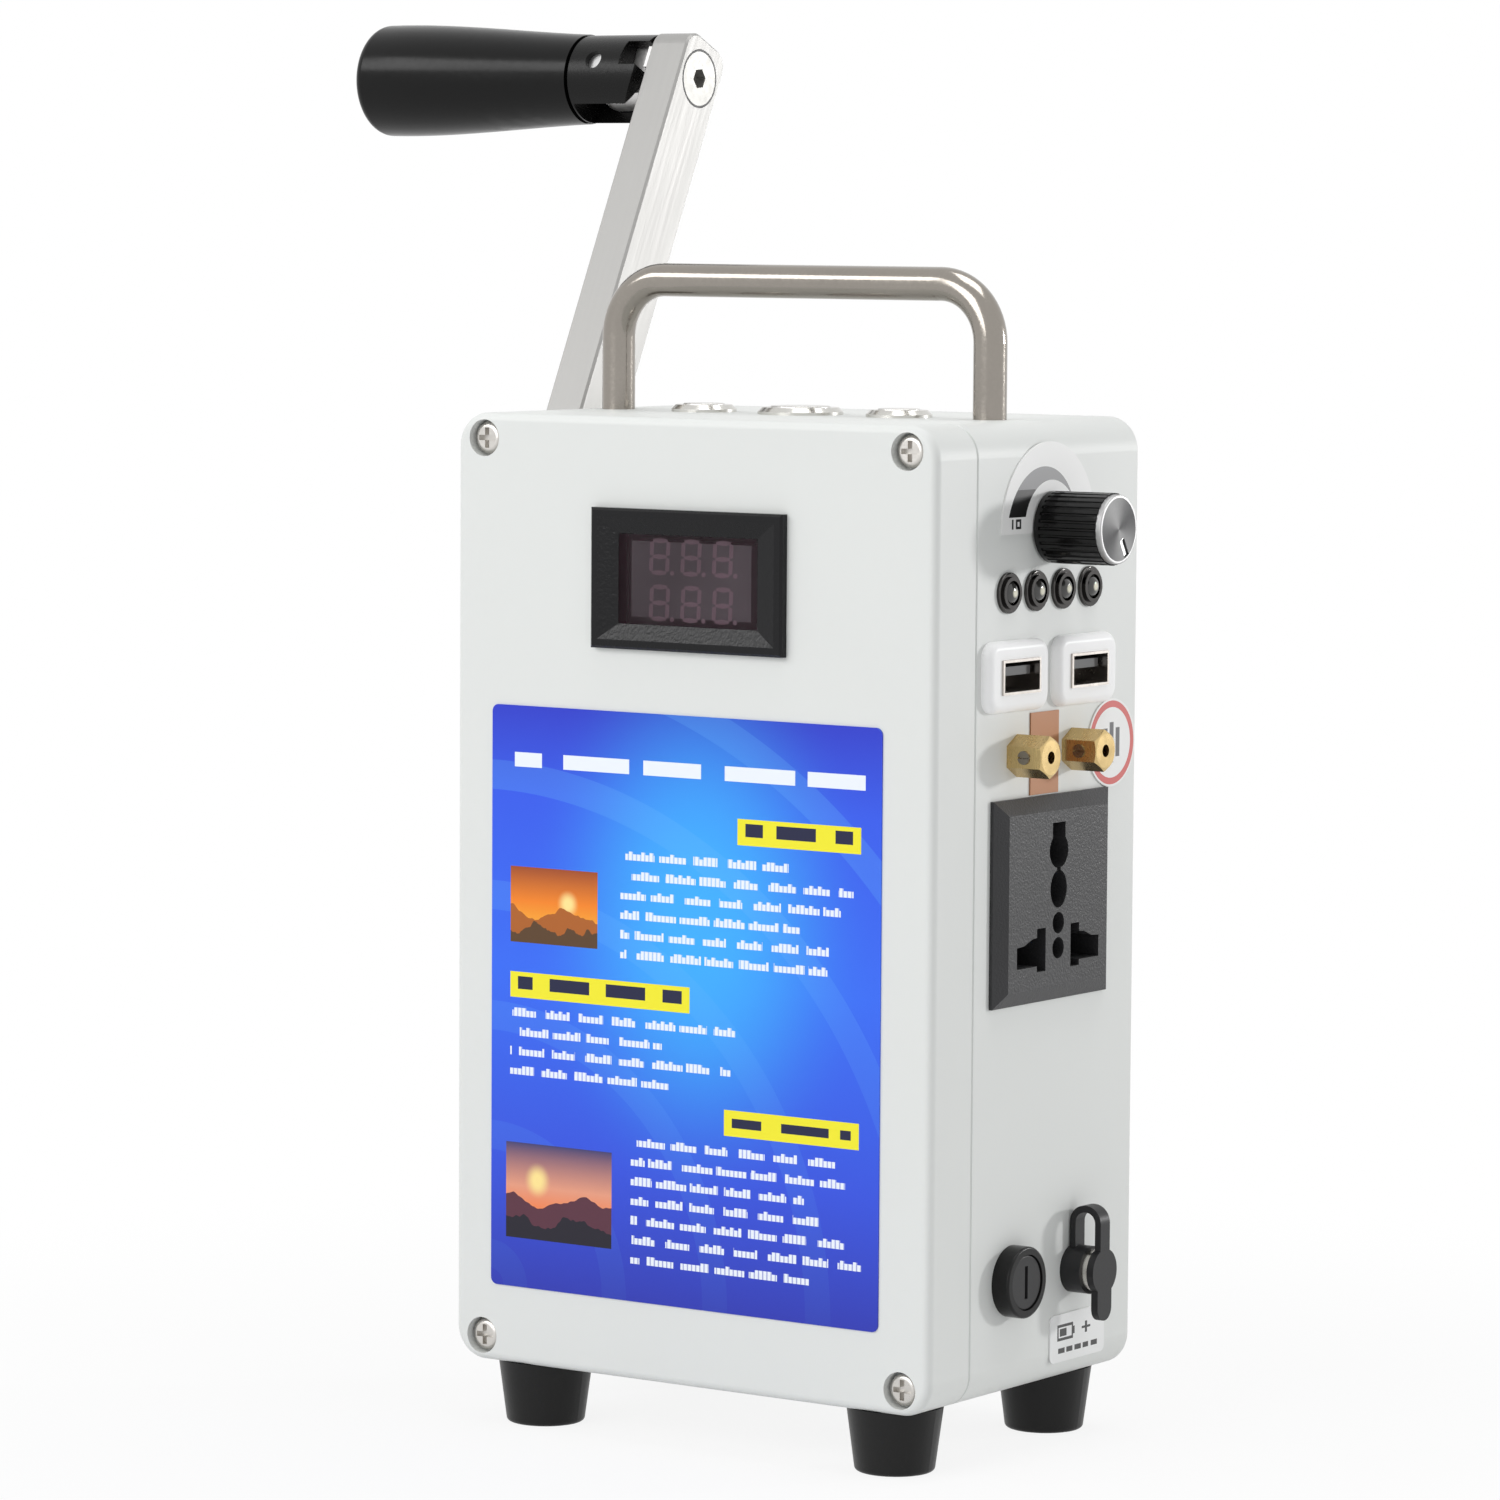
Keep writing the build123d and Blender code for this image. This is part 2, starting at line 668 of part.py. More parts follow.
def make_housing():
    """The deep rear shell, with its screw posts, standoffs and every hole for a fitting."""
    shell = plate_y(BOX_W, BOX_H, CORNER_R, SEAM_Y, REAR_Y, 0, BOX_MID)
    shell = fillet(shell.edges().group_by(Axis.Y)[-1], REAR_EDGE_R)
    shell = chamfer(shell.edges().group_by(Axis.Y)[0], SEAM_CHAMFER)
    inside = plate_y(BOX_W - 2 * WALL, BOX_H - 2 * WALL, CORNER_R - WALL, SEAM_Y, REAR_Y - WALL, 0, BOX_MID)
    body = shell - inside
    body += [rod_y(POST_R, SEAM_Y, SEAM_Y + POST_LENGTH, x, z) & shell for x, z in cover_screw_points()]
    body += [rod_y(STANDOFF_R, BOARD_BACK_Y, REAR_Y - WALL, x, z) for x, z in board_points()]
    body += foot_bosses(1)
    groove_depth = SEAM_Y + SEAL_DEPTH
    groove = seal_ring(SEAL_INSET - SEAL_GAP, SEAL_W + 2 * SEAL_GAP, SEAM_Y, groove_depth)
    cuts = [groove, *housing_side_holes(), *foot_pilots(1)]
    for x, z in cover_screw_points():
        cuts.append(rod_y(COVER_SCREW_R + SEAT_GAP, SEAM_Y, SEAM_Y + POST_BITE, x, z))
    for x, z in board_points():
        cuts.append(rod_y(BOARD_SCREW_R + SEAT_GAP, BOARD_BACK_Y, BOARD_BACK_Y + BOARD_SCREW_BITE, x, z))
    for x, _, barrel_r, _ in button_specs().values():
        cuts.append(rod_z(barrel_r + HOLE_GAP, CEILING_Z, BOX_TOP, x, TOP_ROW_Y))
    for x in (-HANDLE_SPAN / 2, HANDLE_SPAN / 2):
        cuts.append(rod_z(HANDLE_SCREW_R + HOLE_GAP, CEILING_Z, BOX_TOP, x, TOP_ROW_Y))
    cuts.append(rod_x(BUSH_R + SEAT_GAP, -SIDE_X, -INNER_X, 0, SHAFT_Z))
    for y, z in case_screw_points():
        cuts.append(rod_x(M3_R + HOLE_GAP, -SIDE_X, -INNER_X, y, z))
        cuts.append(sink(M3_R, M3_HEAD_R + HOLE_GAP, M3_HEAD_H, (-SIDE_X, y, z), (1, 0, 0)))
    return body - cuts


def seal_ring(inset, width, y0, y1):
    """A ring that follows the seam, a given way in from the outside."""
    outer = plate_y(BOX_W - 2 * inset, BOX_H - 2 * inset, CORNER_R - inset, y0, y1, 0, BOX_MID)
    deep = inset + width
    return outer - plate_y(BOX_W - 2 * deep, BOX_H - 2 * deep, CORNER_R - deep, y0, y1, 0, BOX_MID)


def cover_screw(x, z):
    """A round-headed cross-recess screw, sunk in the cover."""
    seat = FRONT_Y + RECESS_DEPTH
    head = rod_y(COVER_SCREW_HEAD_R, seat - COVER_SCREW_HEAD_H, seat, x, z)
    head = fillet(head.edges().group_by(Axis.Y)[0], COVER_SCREW_HEAD_H / 2)
    body = head + rod_y(COVER_SCREW_R, seat, SEAM_Y + POST_BITE - 2 * HOLE_GAP, x, z)
    return body - cross_recess(x, z, seat - COVER_SCREW_HEAD_H)


def cross_recess(x, z, y):
    """The cross in a cover screw's head."""
    long, wide, deep = COVER_SCREW_HEAD_R * 0.62, COVER_SCREW_HEAD_R * 0.16, COVER_SCREW_HEAD_H * 0.55
    across = block(x - long, x + long, y, y + deep, z - wide, z + wide)
    return across + block(x - wide, x + wide, y, y + deep, z - long, z + long)


def foot(x, y):
    """A tapered rubber foot, open below for its screw."""
    body = Pos(x, y, FOOT_H / 2) * Cone(FOOT_BOTTOM_R, FOOT_TOP_R, FOOT_H)
    body = fillet(body.edges().group_by(Axis.Z)[0], 1.0)
    body -= rod_z(FOOT_POCKET_R, 0, FOOT_POCKET_H, x, y)
    return body - rod_z(M3_R + SEAT_GAP, FOOT_POCKET_H, FOOT_H, x, y)


def foot_screw(x, y):
    """The screw up through a foot into the housing's floor."""
    body = rod_z(M3_R, FOOT_POCKET_H, FOOT_POCKET_H + M3_LENGTH, x, y)
    return body + rod_z(M3_HEAD_R, FOOT_POCKET_H - M3_HEAD_H, FOOT_POCKET_H, x, y)


def case_screw(y, z):
    """A countersunk screw through the left wall into the gear case."""
    tip = (-SIDE_X, y, z)
    body = sink(M3_R, M3_HEAD_R, M3_HEAD_H, tip, (1, 0, 0))
    body += rod_x(M3_R, -SIDE_X + M3_HEAD_H / 2, -INNER_X + CASE_BOSS_H, y, z)
    slot = block(-SIDE_X, -SIDE_X + M3_HEAD_H / 2, y - M3_HEAD_R * 0.6, y + M3_HEAD_R * 0.6, z - 0.3, z + 0.3)
    return body - slot


def make_label():
    """The large printed sticker on the front."""
    z = BOX_BOTTOM + LABEL_UP
    return plate_y(LABEL_W, LABEL_H, LABEL_R, FRONT_Y - STICKER_T, FRONT_Y, LABEL_X, z)


# ---------------------------------------------------------------- panel meter


def make_meter_bezel():
    """The meter's bevelled frame and the box behind it, clipped into the cover."""
    z = BOX_BOTTOM + METER_UP
    face = FRONT_Y - METER_PROUD
    frame = block(-METER_W / 2, METER_W / 2, face, FRONT_Y, z - METER_H / 2, z + METER_H / 2)
    frame = chamfer(frame.edges().group_by(Axis.Y)[0], METER_BEVEL)
    back = FRONT_Y + METER_BODY_DEPTH
    bw, bh = METER_BODY_W / 2, METER_BODY_H / 2
    body = frame + block(-bw, bw, FRONT_Y, back, z - bh, z + bh)
    for side in (-1, 1):
        y0 = FRONT_Y + FACE_WALL
        near = side * bw
        far = side * (bw + METER_LATCH)
        body += block(near, far, y0, y0 + METER_LATCH_H / 2, z - METER_LATCH_H / 2, z + METER_LATCH_H / 2)
    sight = face + WINDOW_SUNK + WINDOW_T
    body -= window_block(z, face, sight, HOLE_GAP)
    body -= window_block(z, face, FRONT_Y + METER_BODY_DEPTH, -WINDOW_LEDGE)
    iw, ih = bw - METER_WALL, bh - METER_WALL
    body -= block(-iw, iw, sight + WINDOW_LEDGE, back, z - ih, z + ih)
    return body


def window_block(z, y0, y1, margin):
    """A block the size of the window, larger all round by a margin."""
    w, h = WINDOW_W / 2 + margin, WINDOW_H / 2 + margin
    return block(-w, w, y0, y1, z - h, z + h)


def make_meter_window():
    """The clear pane over the digits."""
    y = FRONT_Y - METER_PROUD + WINDOW_SUNK
    return window_block(BOX_BOTTOM + METER_UP, y, y + WINDOW_T, 0)


def make_meter_display():
    """The digit block on the meter's own circuit board."""
    z = BOX_BOTTOM + METER_UP
    start = FRONT_Y - METER_PROUD + WINDOW_SUNK + WINDOW_T + SEAT_GAP
    w, h = DIGIT_BLOCK_W / 2, DIGIT_BLOCK_H / 2
    board = start + DIGIT_BLOCK_T
    body = block(-w, w, start, board, z - h, z + h)
    bw = METER_BODY_W / 2 - METER_WALL - HOLE_GAP
    bh = METER_BODY_H / 2 - METER_WALL - HOLE_GAP
    return body + block(-bw, bw, board, board + BOARD_T, z - bh, z + bh)


# ---------------------------------------------------------------- top of the box


def make_handle():
    """The bent carry handle, tapped at both feet."""
    half = HANDLE_SPAN / 2
    top = BOX_TOP + HANDLE_RISE - HANDLE_BAR_R
    points = [(-half, BOX_TOP), (-half, top), (half, top), (half, BOX_TOP)]
    path = FilletPolyline(*[(x, TOP_ROW_Y, z) for x, z in points], radius=HANDLE_BEND_R)
    start = Plane(origin=(-half, TOP_ROW_Y, BOX_TOP), z_dir=(0, 0, 1))
    bar = sweep(start * Circle(HANDLE_BAR_R), path)
    for x in (-half, half):
        bar -= rod_z(HANDLE_SCREW_R + SEAT_GAP, BOX_TOP, BOX_TOP + HANDLE_SCREW_BITE, x, TOP_ROW_Y)
    return bar


def handle_screw(x):
    """The screw under each handle foot."""
    seat = CEILING_Z - WASHER_T
    tip = BOX_TOP + HANDLE_SCREW_BITE - 2 * HOLE_GAP
    head = rod_z(HANDLE_SCREW_HEAD_R, seat - HANDLE_SCREW_HEAD_H, seat, x, TOP_ROW_Y)
    head = fillet(head.edges().group_by(Axis.Z)[0], HANDLE_SCREW_HEAD_H / 3)
    return head + rod_z(HANDLE_SCREW_R, seat, tip, x, TOP_ROW_Y)


def handle_washer(x):
    """The washer between that screw and the box."""
    ring = rod_z(WASHER_R, CEILING_Z - WASHER_T, CEILING_Z, x, TOP_ROW_Y)
    return ring - rod_z(HANDLE_SCREW_R + SEAT_GAP, CEILING_Z - WASHER_T, CEILING_Z, x, TOP_ROW_Y)


def button_barrel(x, bezel_r, barrel_r, cap_r):
    """A push button's bezel and threaded barrel, with a well for its cap."""
    top = BOX_TOP + BEZEL_H
    bezel = rod_z(bezel_r, BOX_TOP, top, x, TOP_ROW_Y)
    bezel = chamfer(bezel.edges().group_by(Axis.Z)[-1], BEZEL_BEVEL)
    body = bezel + rod_z(barrel_r, BOX_TOP - BARREL_DEPTH, BOX_TOP, x, TOP_ROW_Y)
    well = top + CAP_PROUD - CAP_H - BUTTON_TRAVEL - FREE_GAP
    body -= rod_z(cap_r + RUN_GAP, well, top, x, TOP_ROW_Y)
    for dx in (-barrel_r / 2, barrel_r / 2):
        low = BOX_TOP - BARREL_DEPTH
        body += block(x + dx - 1.2, x + dx + 1.2, TOP_ROW_Y - 0.3, TOP_ROW_Y + 0.3, low - 4.0, low)
    return body


def button_cap(x, cap_r):
    """The part of a push button that moves."""
    top = BOX_TOP + BEZEL_H + CAP_PROUD
    cap = rod_z(cap_r, top - CAP_H, top, x, TOP_ROW_Y)
    return fillet(cap.edges().group_by(Axis.Z)[-1], CAP_PROUD)


def ring_nut_z(thread_r, x):
    """A hexagonal nut under the top of the box."""
    nut = hex_z(2 * (thread_r + NUT_RIM), CEILING_Z - NUT_T, CEILING_Z, x, TOP_ROW_Y)
    return nut - rod_z(thread_r + SEAT_GAP, CEILING_Z - NUT_T, CEILING_Z, x, TOP_ROW_Y)


def ring_nut_x(thread_r, flats, x0, x1, y, z):
    """A hexagonal nut on a side fitting."""
    return hex_x(flats, x0, x1, y, z) - rod_x(thread_r + SEAT_GAP, x0, x1, y, z)


def make_panel_nuts():
    """Every nut that holds a fitting to the box."""
    nuts = [ring_nut_z(barrel_r, x) for x, _, barrel_r, _ in button_specs().values()]
    x = INNER_X
    pot_z = BOX_BOTTOM + KNOB_UP
    pot_x = SIDE_X + STICKER_T
    nuts.append(ring_nut_x(POT_BUSH_R, POT_NUT_FLATS, pot_x, pot_x + POT_NUT_T, KNOB_Y, pot_z))
    for y in terminal_centres():
        nuts.append(ring_nut_x(STUD_R, STUD_NUT_FLATS, x - STUD_NUT_T, x, y, BOX_BOTTOM + TERMINAL_UP))
    fuse_z = BOX_BOTTOM + FUSE_UP
    nuts.append(ring_nut_x(FUSE_BARREL_R, FUSE_NUT_FLATS, x - FUSE_NUT_T, x, FUSE_Y, fuse_z))
    jack_z = BOX_BOTTOM + JACK_UP
    nuts.append(ring_nut_x(JACK_BARREL_R, JACK_NUT_FLATS, x - JACK_NUT_T, x, JACK_Y, jack_z))
    return nuts


# ---------------------------------------------------------------- socket side, upper half


def make_dial():
    """The half-round scale behind the knob."""
    y, z = KNOB_Y - DIAL_FORWARD, BOX_BOTTOM + KNOB_UP
    x1 = SIDE_X + STICKER_T
    disc = rod_x(DIAL_R, SIDE_X, x1, y, z - DIAL_LOWER)
    lower = block(SIDE_X, x1, y - DIAL_R, y + DIAL_R, z - DIAL_R - DIAL_LOWER, z - DIAL_DROP)
    return disc - lower - rod_x(POT_BUSH_R + HOLE_GAP, SIDE_X, x1, KNOB_Y, z)


def knob_start():
    """Where the knob begins, just clear of the dial."""
    return SIDE_X + STICKER_T + FREE_GAP


def make_knob_body():
    """The grooved black part of the knob."""
    z = BOX_BOTTOM + KNOB_UP
    x0 = knob_start()
    x1 = x0 + KNOB_BODY_L
    body = rod_x(KNOB_R, x0, x1, KNOB_Y, z)
    grooves = []
    for i in range(KNOB_GROOVES):
        angle = 2 * math.pi * i / KNOB_GROOVES
        y = KNOB_Y + KNOB_R * math.cos(angle)
        grooves.append(rod_x(KNOB_GROOVE_R, x0 + KNOB_GROOVE_R * 3, x1, y, z + KNOB_R * math.sin(angle)))
    body -= grooves
    body -= rod_x(KNOB_HOLLOW_R, x0, x0 + KNOB_HOLLOW_DEPTH, KNOB_Y, z)
    return body - rod_x(POT_SHAFT_R + SEAT_GAP, x0, x0 + POT_SHAFT_BITE + KNOB_HOLLOW_DEPTH, KNOB_Y, z)


def make_knob_cap():
    """The aluminium disc on the knob's end, with its pointer groove."""
    z = BOX_BOTTOM + KNOB_UP
    x0 = knob_start() + KNOB_BODY_L
    x1 = x0 + KNOB_CAP_T
    cap = rod_x(KNOB_CAP_R, x0, x1, KNOB_Y, z)
    cap = fillet(cap.edges().group_by(Axis.X)[-1], KNOB_CAP_T / 4)
    y0, y1 = KNOB_Y - KNOB_CAP_R * 0.12, KNOB_Y + KNOB_CAP_R * 0.12
    line = block(x1 - KNOB_CAP_T / 3, x1, y0, y1, z - KNOB_CAP_R * 0.9, z - KNOB_CAP_R * 0.35)
    return cap - line.rotate(Axis((0, KNOB_Y, z), (1, 0, 0)), KNOB_REST)


def make_pot_shaft():
    """The shaft that the knob turns."""
    x1 = knob_start() + KNOB_HOLLOW_DEPTH + POT_SHAFT_BITE - HOLE_GAP
    return rod_x(POT_SHAFT_R, INNER_X - POT_BODY_L / 2, x1, KNOB_Y, BOX_BOTTOM + KNOB_UP)


def make_pot_body():
    """The control behind the wall, held by its threaded bush."""
    z = BOX_BOTTOM + KNOB_UP
    x0 = INNER_X - POT_BODY_L
    bush_end = SIDE_X + STICKER_T + POT_BUSH_L
    body = rod_x(POT_BODY_R, x0, INNER_X, KNOB_Y, z)
    body += rod_x(POT_BUSH_R, INNER_X, bush_end, KNOB_Y, z)
    legs = z - POT_BODY_R - 3.0
    body += block(x0 + 1, x0 + 2, KNOB_Y - 5.0, KNOB_Y + 5.0, legs, z)
    return body - rod_x(POT_SHAFT_R + RUN_GAP, INNER_X - POT_BODY_L / 2 - FREE_GAP, bush_end, KNOB_Y, z)


def led_holder(y):
    """A flanged holder for one indicator lamp."""
    z = BOX_BOTTOM + LED_UP
    body = rod_x(LED_FLANGE_R, SIDE_X, SIDE_X + LED_FLANGE_T, y, z)
    body = fillet(body.edges().group_by(Axis.X)[-1], LED_FLANGE_T / 3)
    collar_end = SIDE_X + LED_FLANGE_T + LED_COLLAR_T
    body += rod_x(LED_COLLAR_R, SIDE_X + LED_FLANGE_T / 2, collar_end, y, z)
    body += rod_x(LED_BARREL_R, SIDE_X - LED_BARREL_L, SIDE_X, y, z)
    return body - rod_x(LED_R + SEAT_GAP, SIDE_X - LED_BARREL_L, collar_end, y, z)


def led_lamp(y):
    """A clear round-topped lamp in its holder."""
    z = BOX_BOTTOM + LED_UP
    end = SIDE_X + LED_FLANGE_T + LED_COLLAR_T + LED_DOME_OUT
    lamp = rod_x(LED_R, SIDE_X - LED_BARREL_L, end, y, z)
    return fillet(lamp.edges().group_by(Axis.X)[-1], LED_R * 0.8)


def usb_bezel(y):
    """A pillow-shaped white frame round one charging socket."""
    z = BOX_BOTTOM + USB_UP
    x1 = SIDE_X + USB_BEZEL_T
    body = plate_x(USB_BEZEL_W, USB_BEZEL_H, USB_BEZEL_R, SIDE_X, x1, y, z)
    body = fillet(body.edges().group_by(Axis.X)[-1], USB_BEZEL_EDGE_R)
    w, h = USB_SHELL_W / 2 + SEAT_GAP, USB_SHELL_H / 2 + SEAT_GAP
    return body - block(SIDE_X, x1, y - w, y + w, z - h, z + h)


def usb_shell(y):
    """The bright metal tube of one charging socket, closed at the back."""
    z = BOX_BOTTOM + USB_UP
    x1 = SIDE_X + USB_BEZEL_T + USB_SHELL_PROUD
    x0 = x1 - USB_SHELL_L
    w, h = USB_SHELL_W / 2, USB_SHELL_H / 2
    tube = block(x0, x1, y - w, y + w, z - h, z + h)
    w, h = w - USB_SHELL_WALL, h - USB_SHELL_WALL
    return tube - block(x0 + USB_SHELL_WALL, x1, y - w, y + w, z - h, z + h)


def usb_tongue(y):
    """The contact tongue on its block at the back of the shell."""
    z = BOX_BOTTOM + USB_UP
    x1 = SIDE_X + USB_BEZEL_T + USB_SHELL_PROUD
    x0 = x1 - USB_SHELL_L + USB_SHELL_WALL
    w, h = USB_SHELL_W / 2 - USB_SHELL_WALL, USB_SHELL_H / 2 - USB_SHELL_WALL
    body = block(x0, x0 + USB_BACK_T, y - w, y + w, z - h, z + h)
    top = z + h - USB_TONGUE_SPACE
    half = USB_TONGUE_W / 2
    tip = x1 - USB_TONGUE_SHORT
    return body + block(x0 + USB_BACK_T, tip, y - half, y + half, top - USB_TONGUE_T, top)


# ---------------------------------------------------------------- socket side, middle


def terminal(y):
    """A hexagonal brass terminal with an end bore for the wire and a stud through the wall."""
    z = BOX_BOTTOM + TERMINAL_UP
    x1 = SIDE_X + TERMINAL_L
    bar = hex_x(TERMINAL_FLATS, SIDE_X, x1, y, z)
    cone_r = TERMINAL_FLATS / 2 - TERMINAL_BEVEL / 2
    turned = Plane(origin=(SIDE_X, y, z), z_dir=(1, 0, 0)) * Cone(
        cone_r + TERMINAL_L * 2, cone_r, TERMINAL_L, align=(Align.CENTER, Align.CENTER, Align.MIN)
    )
    body = (bar & turned) + rod_x(STUD_R, SIDE_X - STUD_L, SIDE_X, y, z)
    body -= rod_x(TERMINAL_BORE_R, x1 - TERMINAL_BORE_DEPTH, x1, y, z)
    return body - rod_y(GRUB_R + SEAT_GAP, y - TERMINAL_FLATS, y, grub_x(), z)


def grub_x():
    """How far out the set screws sit."""
    return SIDE_X + TERMINAL_L / 2


def set_screw(y):
    """A slotted set screw that clamps the wire in a terminal."""
    z = BOX_BOTTOM + TERMINAL_UP
    face = y - TERMINAL_FLATS / 2 - GRUB_PROUD
    screw = rod_y(GRUB_R, face, y - TERMINAL_BORE_R, grub_x(), z)
    slot = 0.2
    return screw - block(grub_x() - GRUB_R, grub_x() + GRUB_R, face, face + GRUB_R / 2, z - slot, z + slot)


def make_strip():
    """The thin copper strip between the terminals."""
    y0, y1 = STRIP_MID_Y - STRIP_W / 2, STRIP_MID_Y + STRIP_W / 2
    return block(SIDE_X, SIDE_X + STICKER_T, y0, y1, BOX_BOTTOM + STRIP_BOTTOM_UP, BOX_BOTTOM + STRIP_TOP_UP)


def make_ring_sticker():
    """The round sticker beside the rear terminal, which ends at the charging socket's frame."""
    x1 = SIDE_X + STICKER_T
    disc = rod_x(RING_R, SIDE_X, x1, RING_Y, BOX_BOTTOM + RING_UP)
    w, h = USB_BEZEL_W + 2 * HOLE_GAP, USB_BEZEL_H + 2 * HOLE_GAP
    z = BOX_BOTTOM + USB_UP
    return disc - [plate_x(w, h, USB_BEZEL_R, SIDE_X, x1, y, z) for y in usb_centres()]


def socket_sketch():
    """The openings of a universal mains socket, about its middle."""
    shapes = Pos(0, 13.4) * Rectangle(4.9, 4.4)
    shapes += Pos(0, 9.8) * Circle(3.6)
    shapes += Pos(0, 6.1) * Rectangle(1.4, 2.0)
    shapes += Pos(0, 1.9) * Ellipse(3.15, 3.9)
    shapes += Pos(0, -5.1) * Circle(2.2)
    shapes += Pos(0, -10.3) * Circle(2.2)
    for side in (-1, 1):
        points = [(4.8, -14.6), (8.1, -14.6), (8.1, -13.4), (15.7, -13.4), (15.7, -9.0), (12.9, -8.8)]
        points += [(10.0, -7.7), (8.1, -7.5), (8.1, -5.7), (4.8, -5.7)]
        shapes += make_face(Polyline(*[(side * a, b) for a, b in points], close=True))
    return shapes


def make_socket():
    """The mains socket: a bevelled plate, and a body behind the wall with its pin chambers."""
    z = BOX_BOTTOM + SOCKET_UP
    rim = extrude(Plane.YZ * Rectangle(SOCKET_W, SOCKET_H), SOCKET_RIM_T)
    outer = Plane.YZ.offset(SOCKET_RIM_T) * Rectangle(SOCKET_W, SOCKET_H)
    inner_w, inner_h = SOCKET_W - 2 * SOCKET_FACE_INSET, SOCKET_H - 2 * SOCKET_FACE_INSET
    inner = Plane.YZ.offset(SOCKET_FACE_T) * Rectangle(inner_w, inner_h)
    front = rim + loft([outer, inner], ruled=True)
    body_w, body_h = SOCKET_W - 2 * SOCKET_BODY_INSET, SOCKET_H - 2 * SOCKET_BODY_INSET
    back = extrude(Plane.YZ * Rectangle(body_w, body_h), -SOCKET_DEPTH)
    pins = extrude(Plane.YZ.offset(SOCKET_FACE_T) * socket_sketch(), -SOCKET_PIN_DEPTH)
    return Pos(SIDE_X, SOCKET_Y, z) * (front + back - pins)


# ---------------------------------------------------------------- socket side, lower part


def make_fuse_holder():
    """The round fuse holder, open in front for its cap."""
    z = BOX_BOTTOM + FUSE_UP
    front = SIDE_X + FUSE_FLANGE_T
    body = rod_x(FUSE_FLANGE_R, SIDE_X, front, FUSE_Y, z)
    body = fillet(body.edges().group_by(Axis.X)[-1], FUSE_FLANGE_T / 8)
    body += rod_x(FUSE_BARREL_R, SIDE_X - FUSE_BARREL_L, SIDE_X, FUSE_Y, z)
    seat = front - FUSE_CAP_SUNK - FUSE_CAP_T
    body -= rod_x(FUSE_CAP_R + RUN_GAP, seat, front, FUSE_Y, z)
    return body - rod_x(FUSE_R + RUN_GAP, seat - FUSE_L - FREE_GAP, front, FUSE_Y, z)


def make_fuse_cap():
    """The slotted cap that turns and pulls out with the fuse."""
    z = BOX_BOTTOM + FUSE_UP
    x1 = SIDE_X + FUSE_FLANGE_T - FUSE_CAP_SUNK
    cap = rod_x(FUSE_CAP_R, x1 - FUSE_CAP_T, x1, FUSE_Y, z)
    cap = fillet(cap.edges().group_by(Axis.X)[-1], FUSE_CAP_T / 8)
    w, h = FUSE_SLOT_W / 2, FUSE_SLOT_L / 2
    return cap - block(x1 - FUSE_CAP_T / 2, x1, FUSE_Y - w, FUSE_Y + w, z - h, z + h)


def make_fuse_link():
    """The glass fuse with its two metal ends."""
    z = BOX_BOTTOM + FUSE_UP
    x1 = SIDE_X + FUSE_FLANGE_T - FUSE_CAP_SUNK - FUSE_CAP_T
    x0 = x1 - FUSE_L
    glass = rod_x(FUSE_R * 0.9, x0 + FUSE_FERRULE_L, x1 - FUSE_FERRULE_L, FUSE_Y, z)
    glass += rod_x(FUSE_R, x0, x0 + FUSE_FERRULE_L, FUSE_Y, z)
    return glass + rod_x(FUSE_R, x1 - FUSE_FERRULE_L, x1, FUSE_Y, z)


def make_jack():
    """The metal-rimmed jack, with its centre pin."""
    z = BOX_BOTTOM + JACK_UP
    front = SIDE_X + JACK_RIM_L
    body = rod_x(JACK_RIM_R, SIDE_X, front, JACK_Y, z)
    body += rod_x(JACK_BARREL_R, SIDE_X - JACK_BARREL_L, SIDE_X, JACK_Y, z)
    body -= rod_x(JACK_BORE_R, front - JACK_BORE_DEPTH, front, JACK_Y, z)
    return body + rod_x(JACK_PIN_R, front - JACK_BORE_DEPTH, SIDE_X, JACK_Y, z)


def make_jack_cap():
    """The rubber cap: a disc with a finger tab below, and a hollow plug that fits the jack."""
    z = BOX_BOTTOM + JACK_UP
    x0 = SIDE_X + JACK_RIM_L
    x1 = x0 + CAP_DISC_T
    cap = rod_x(CAP_DISC_R, x0, x1, JACK_Y, z)
    tab_end = z - CAP_TAB_L - CAP_TAB_W / 2
    cap += block(x0, x1, JACK_Y - CAP_TAB_W / 2, JACK_Y + CAP_TAB_W / 2, tab_end + CAP_TAB_W / 2, z)
    cap += rod_x(CAP_TAB_W / 2, x0, x1, JACK_Y, tab_end + CAP_TAB_W / 2)
    plug = rod_x(JACK_BORE_R - RUN_GAP, x0 - CAP_PLUG_L, x0, JACK_Y, z)
    return cap + plug - rod_x(JACK_PIN_R + RUN_GAP, x0 - CAP_PLUG_L, x0, JACK_Y, z)


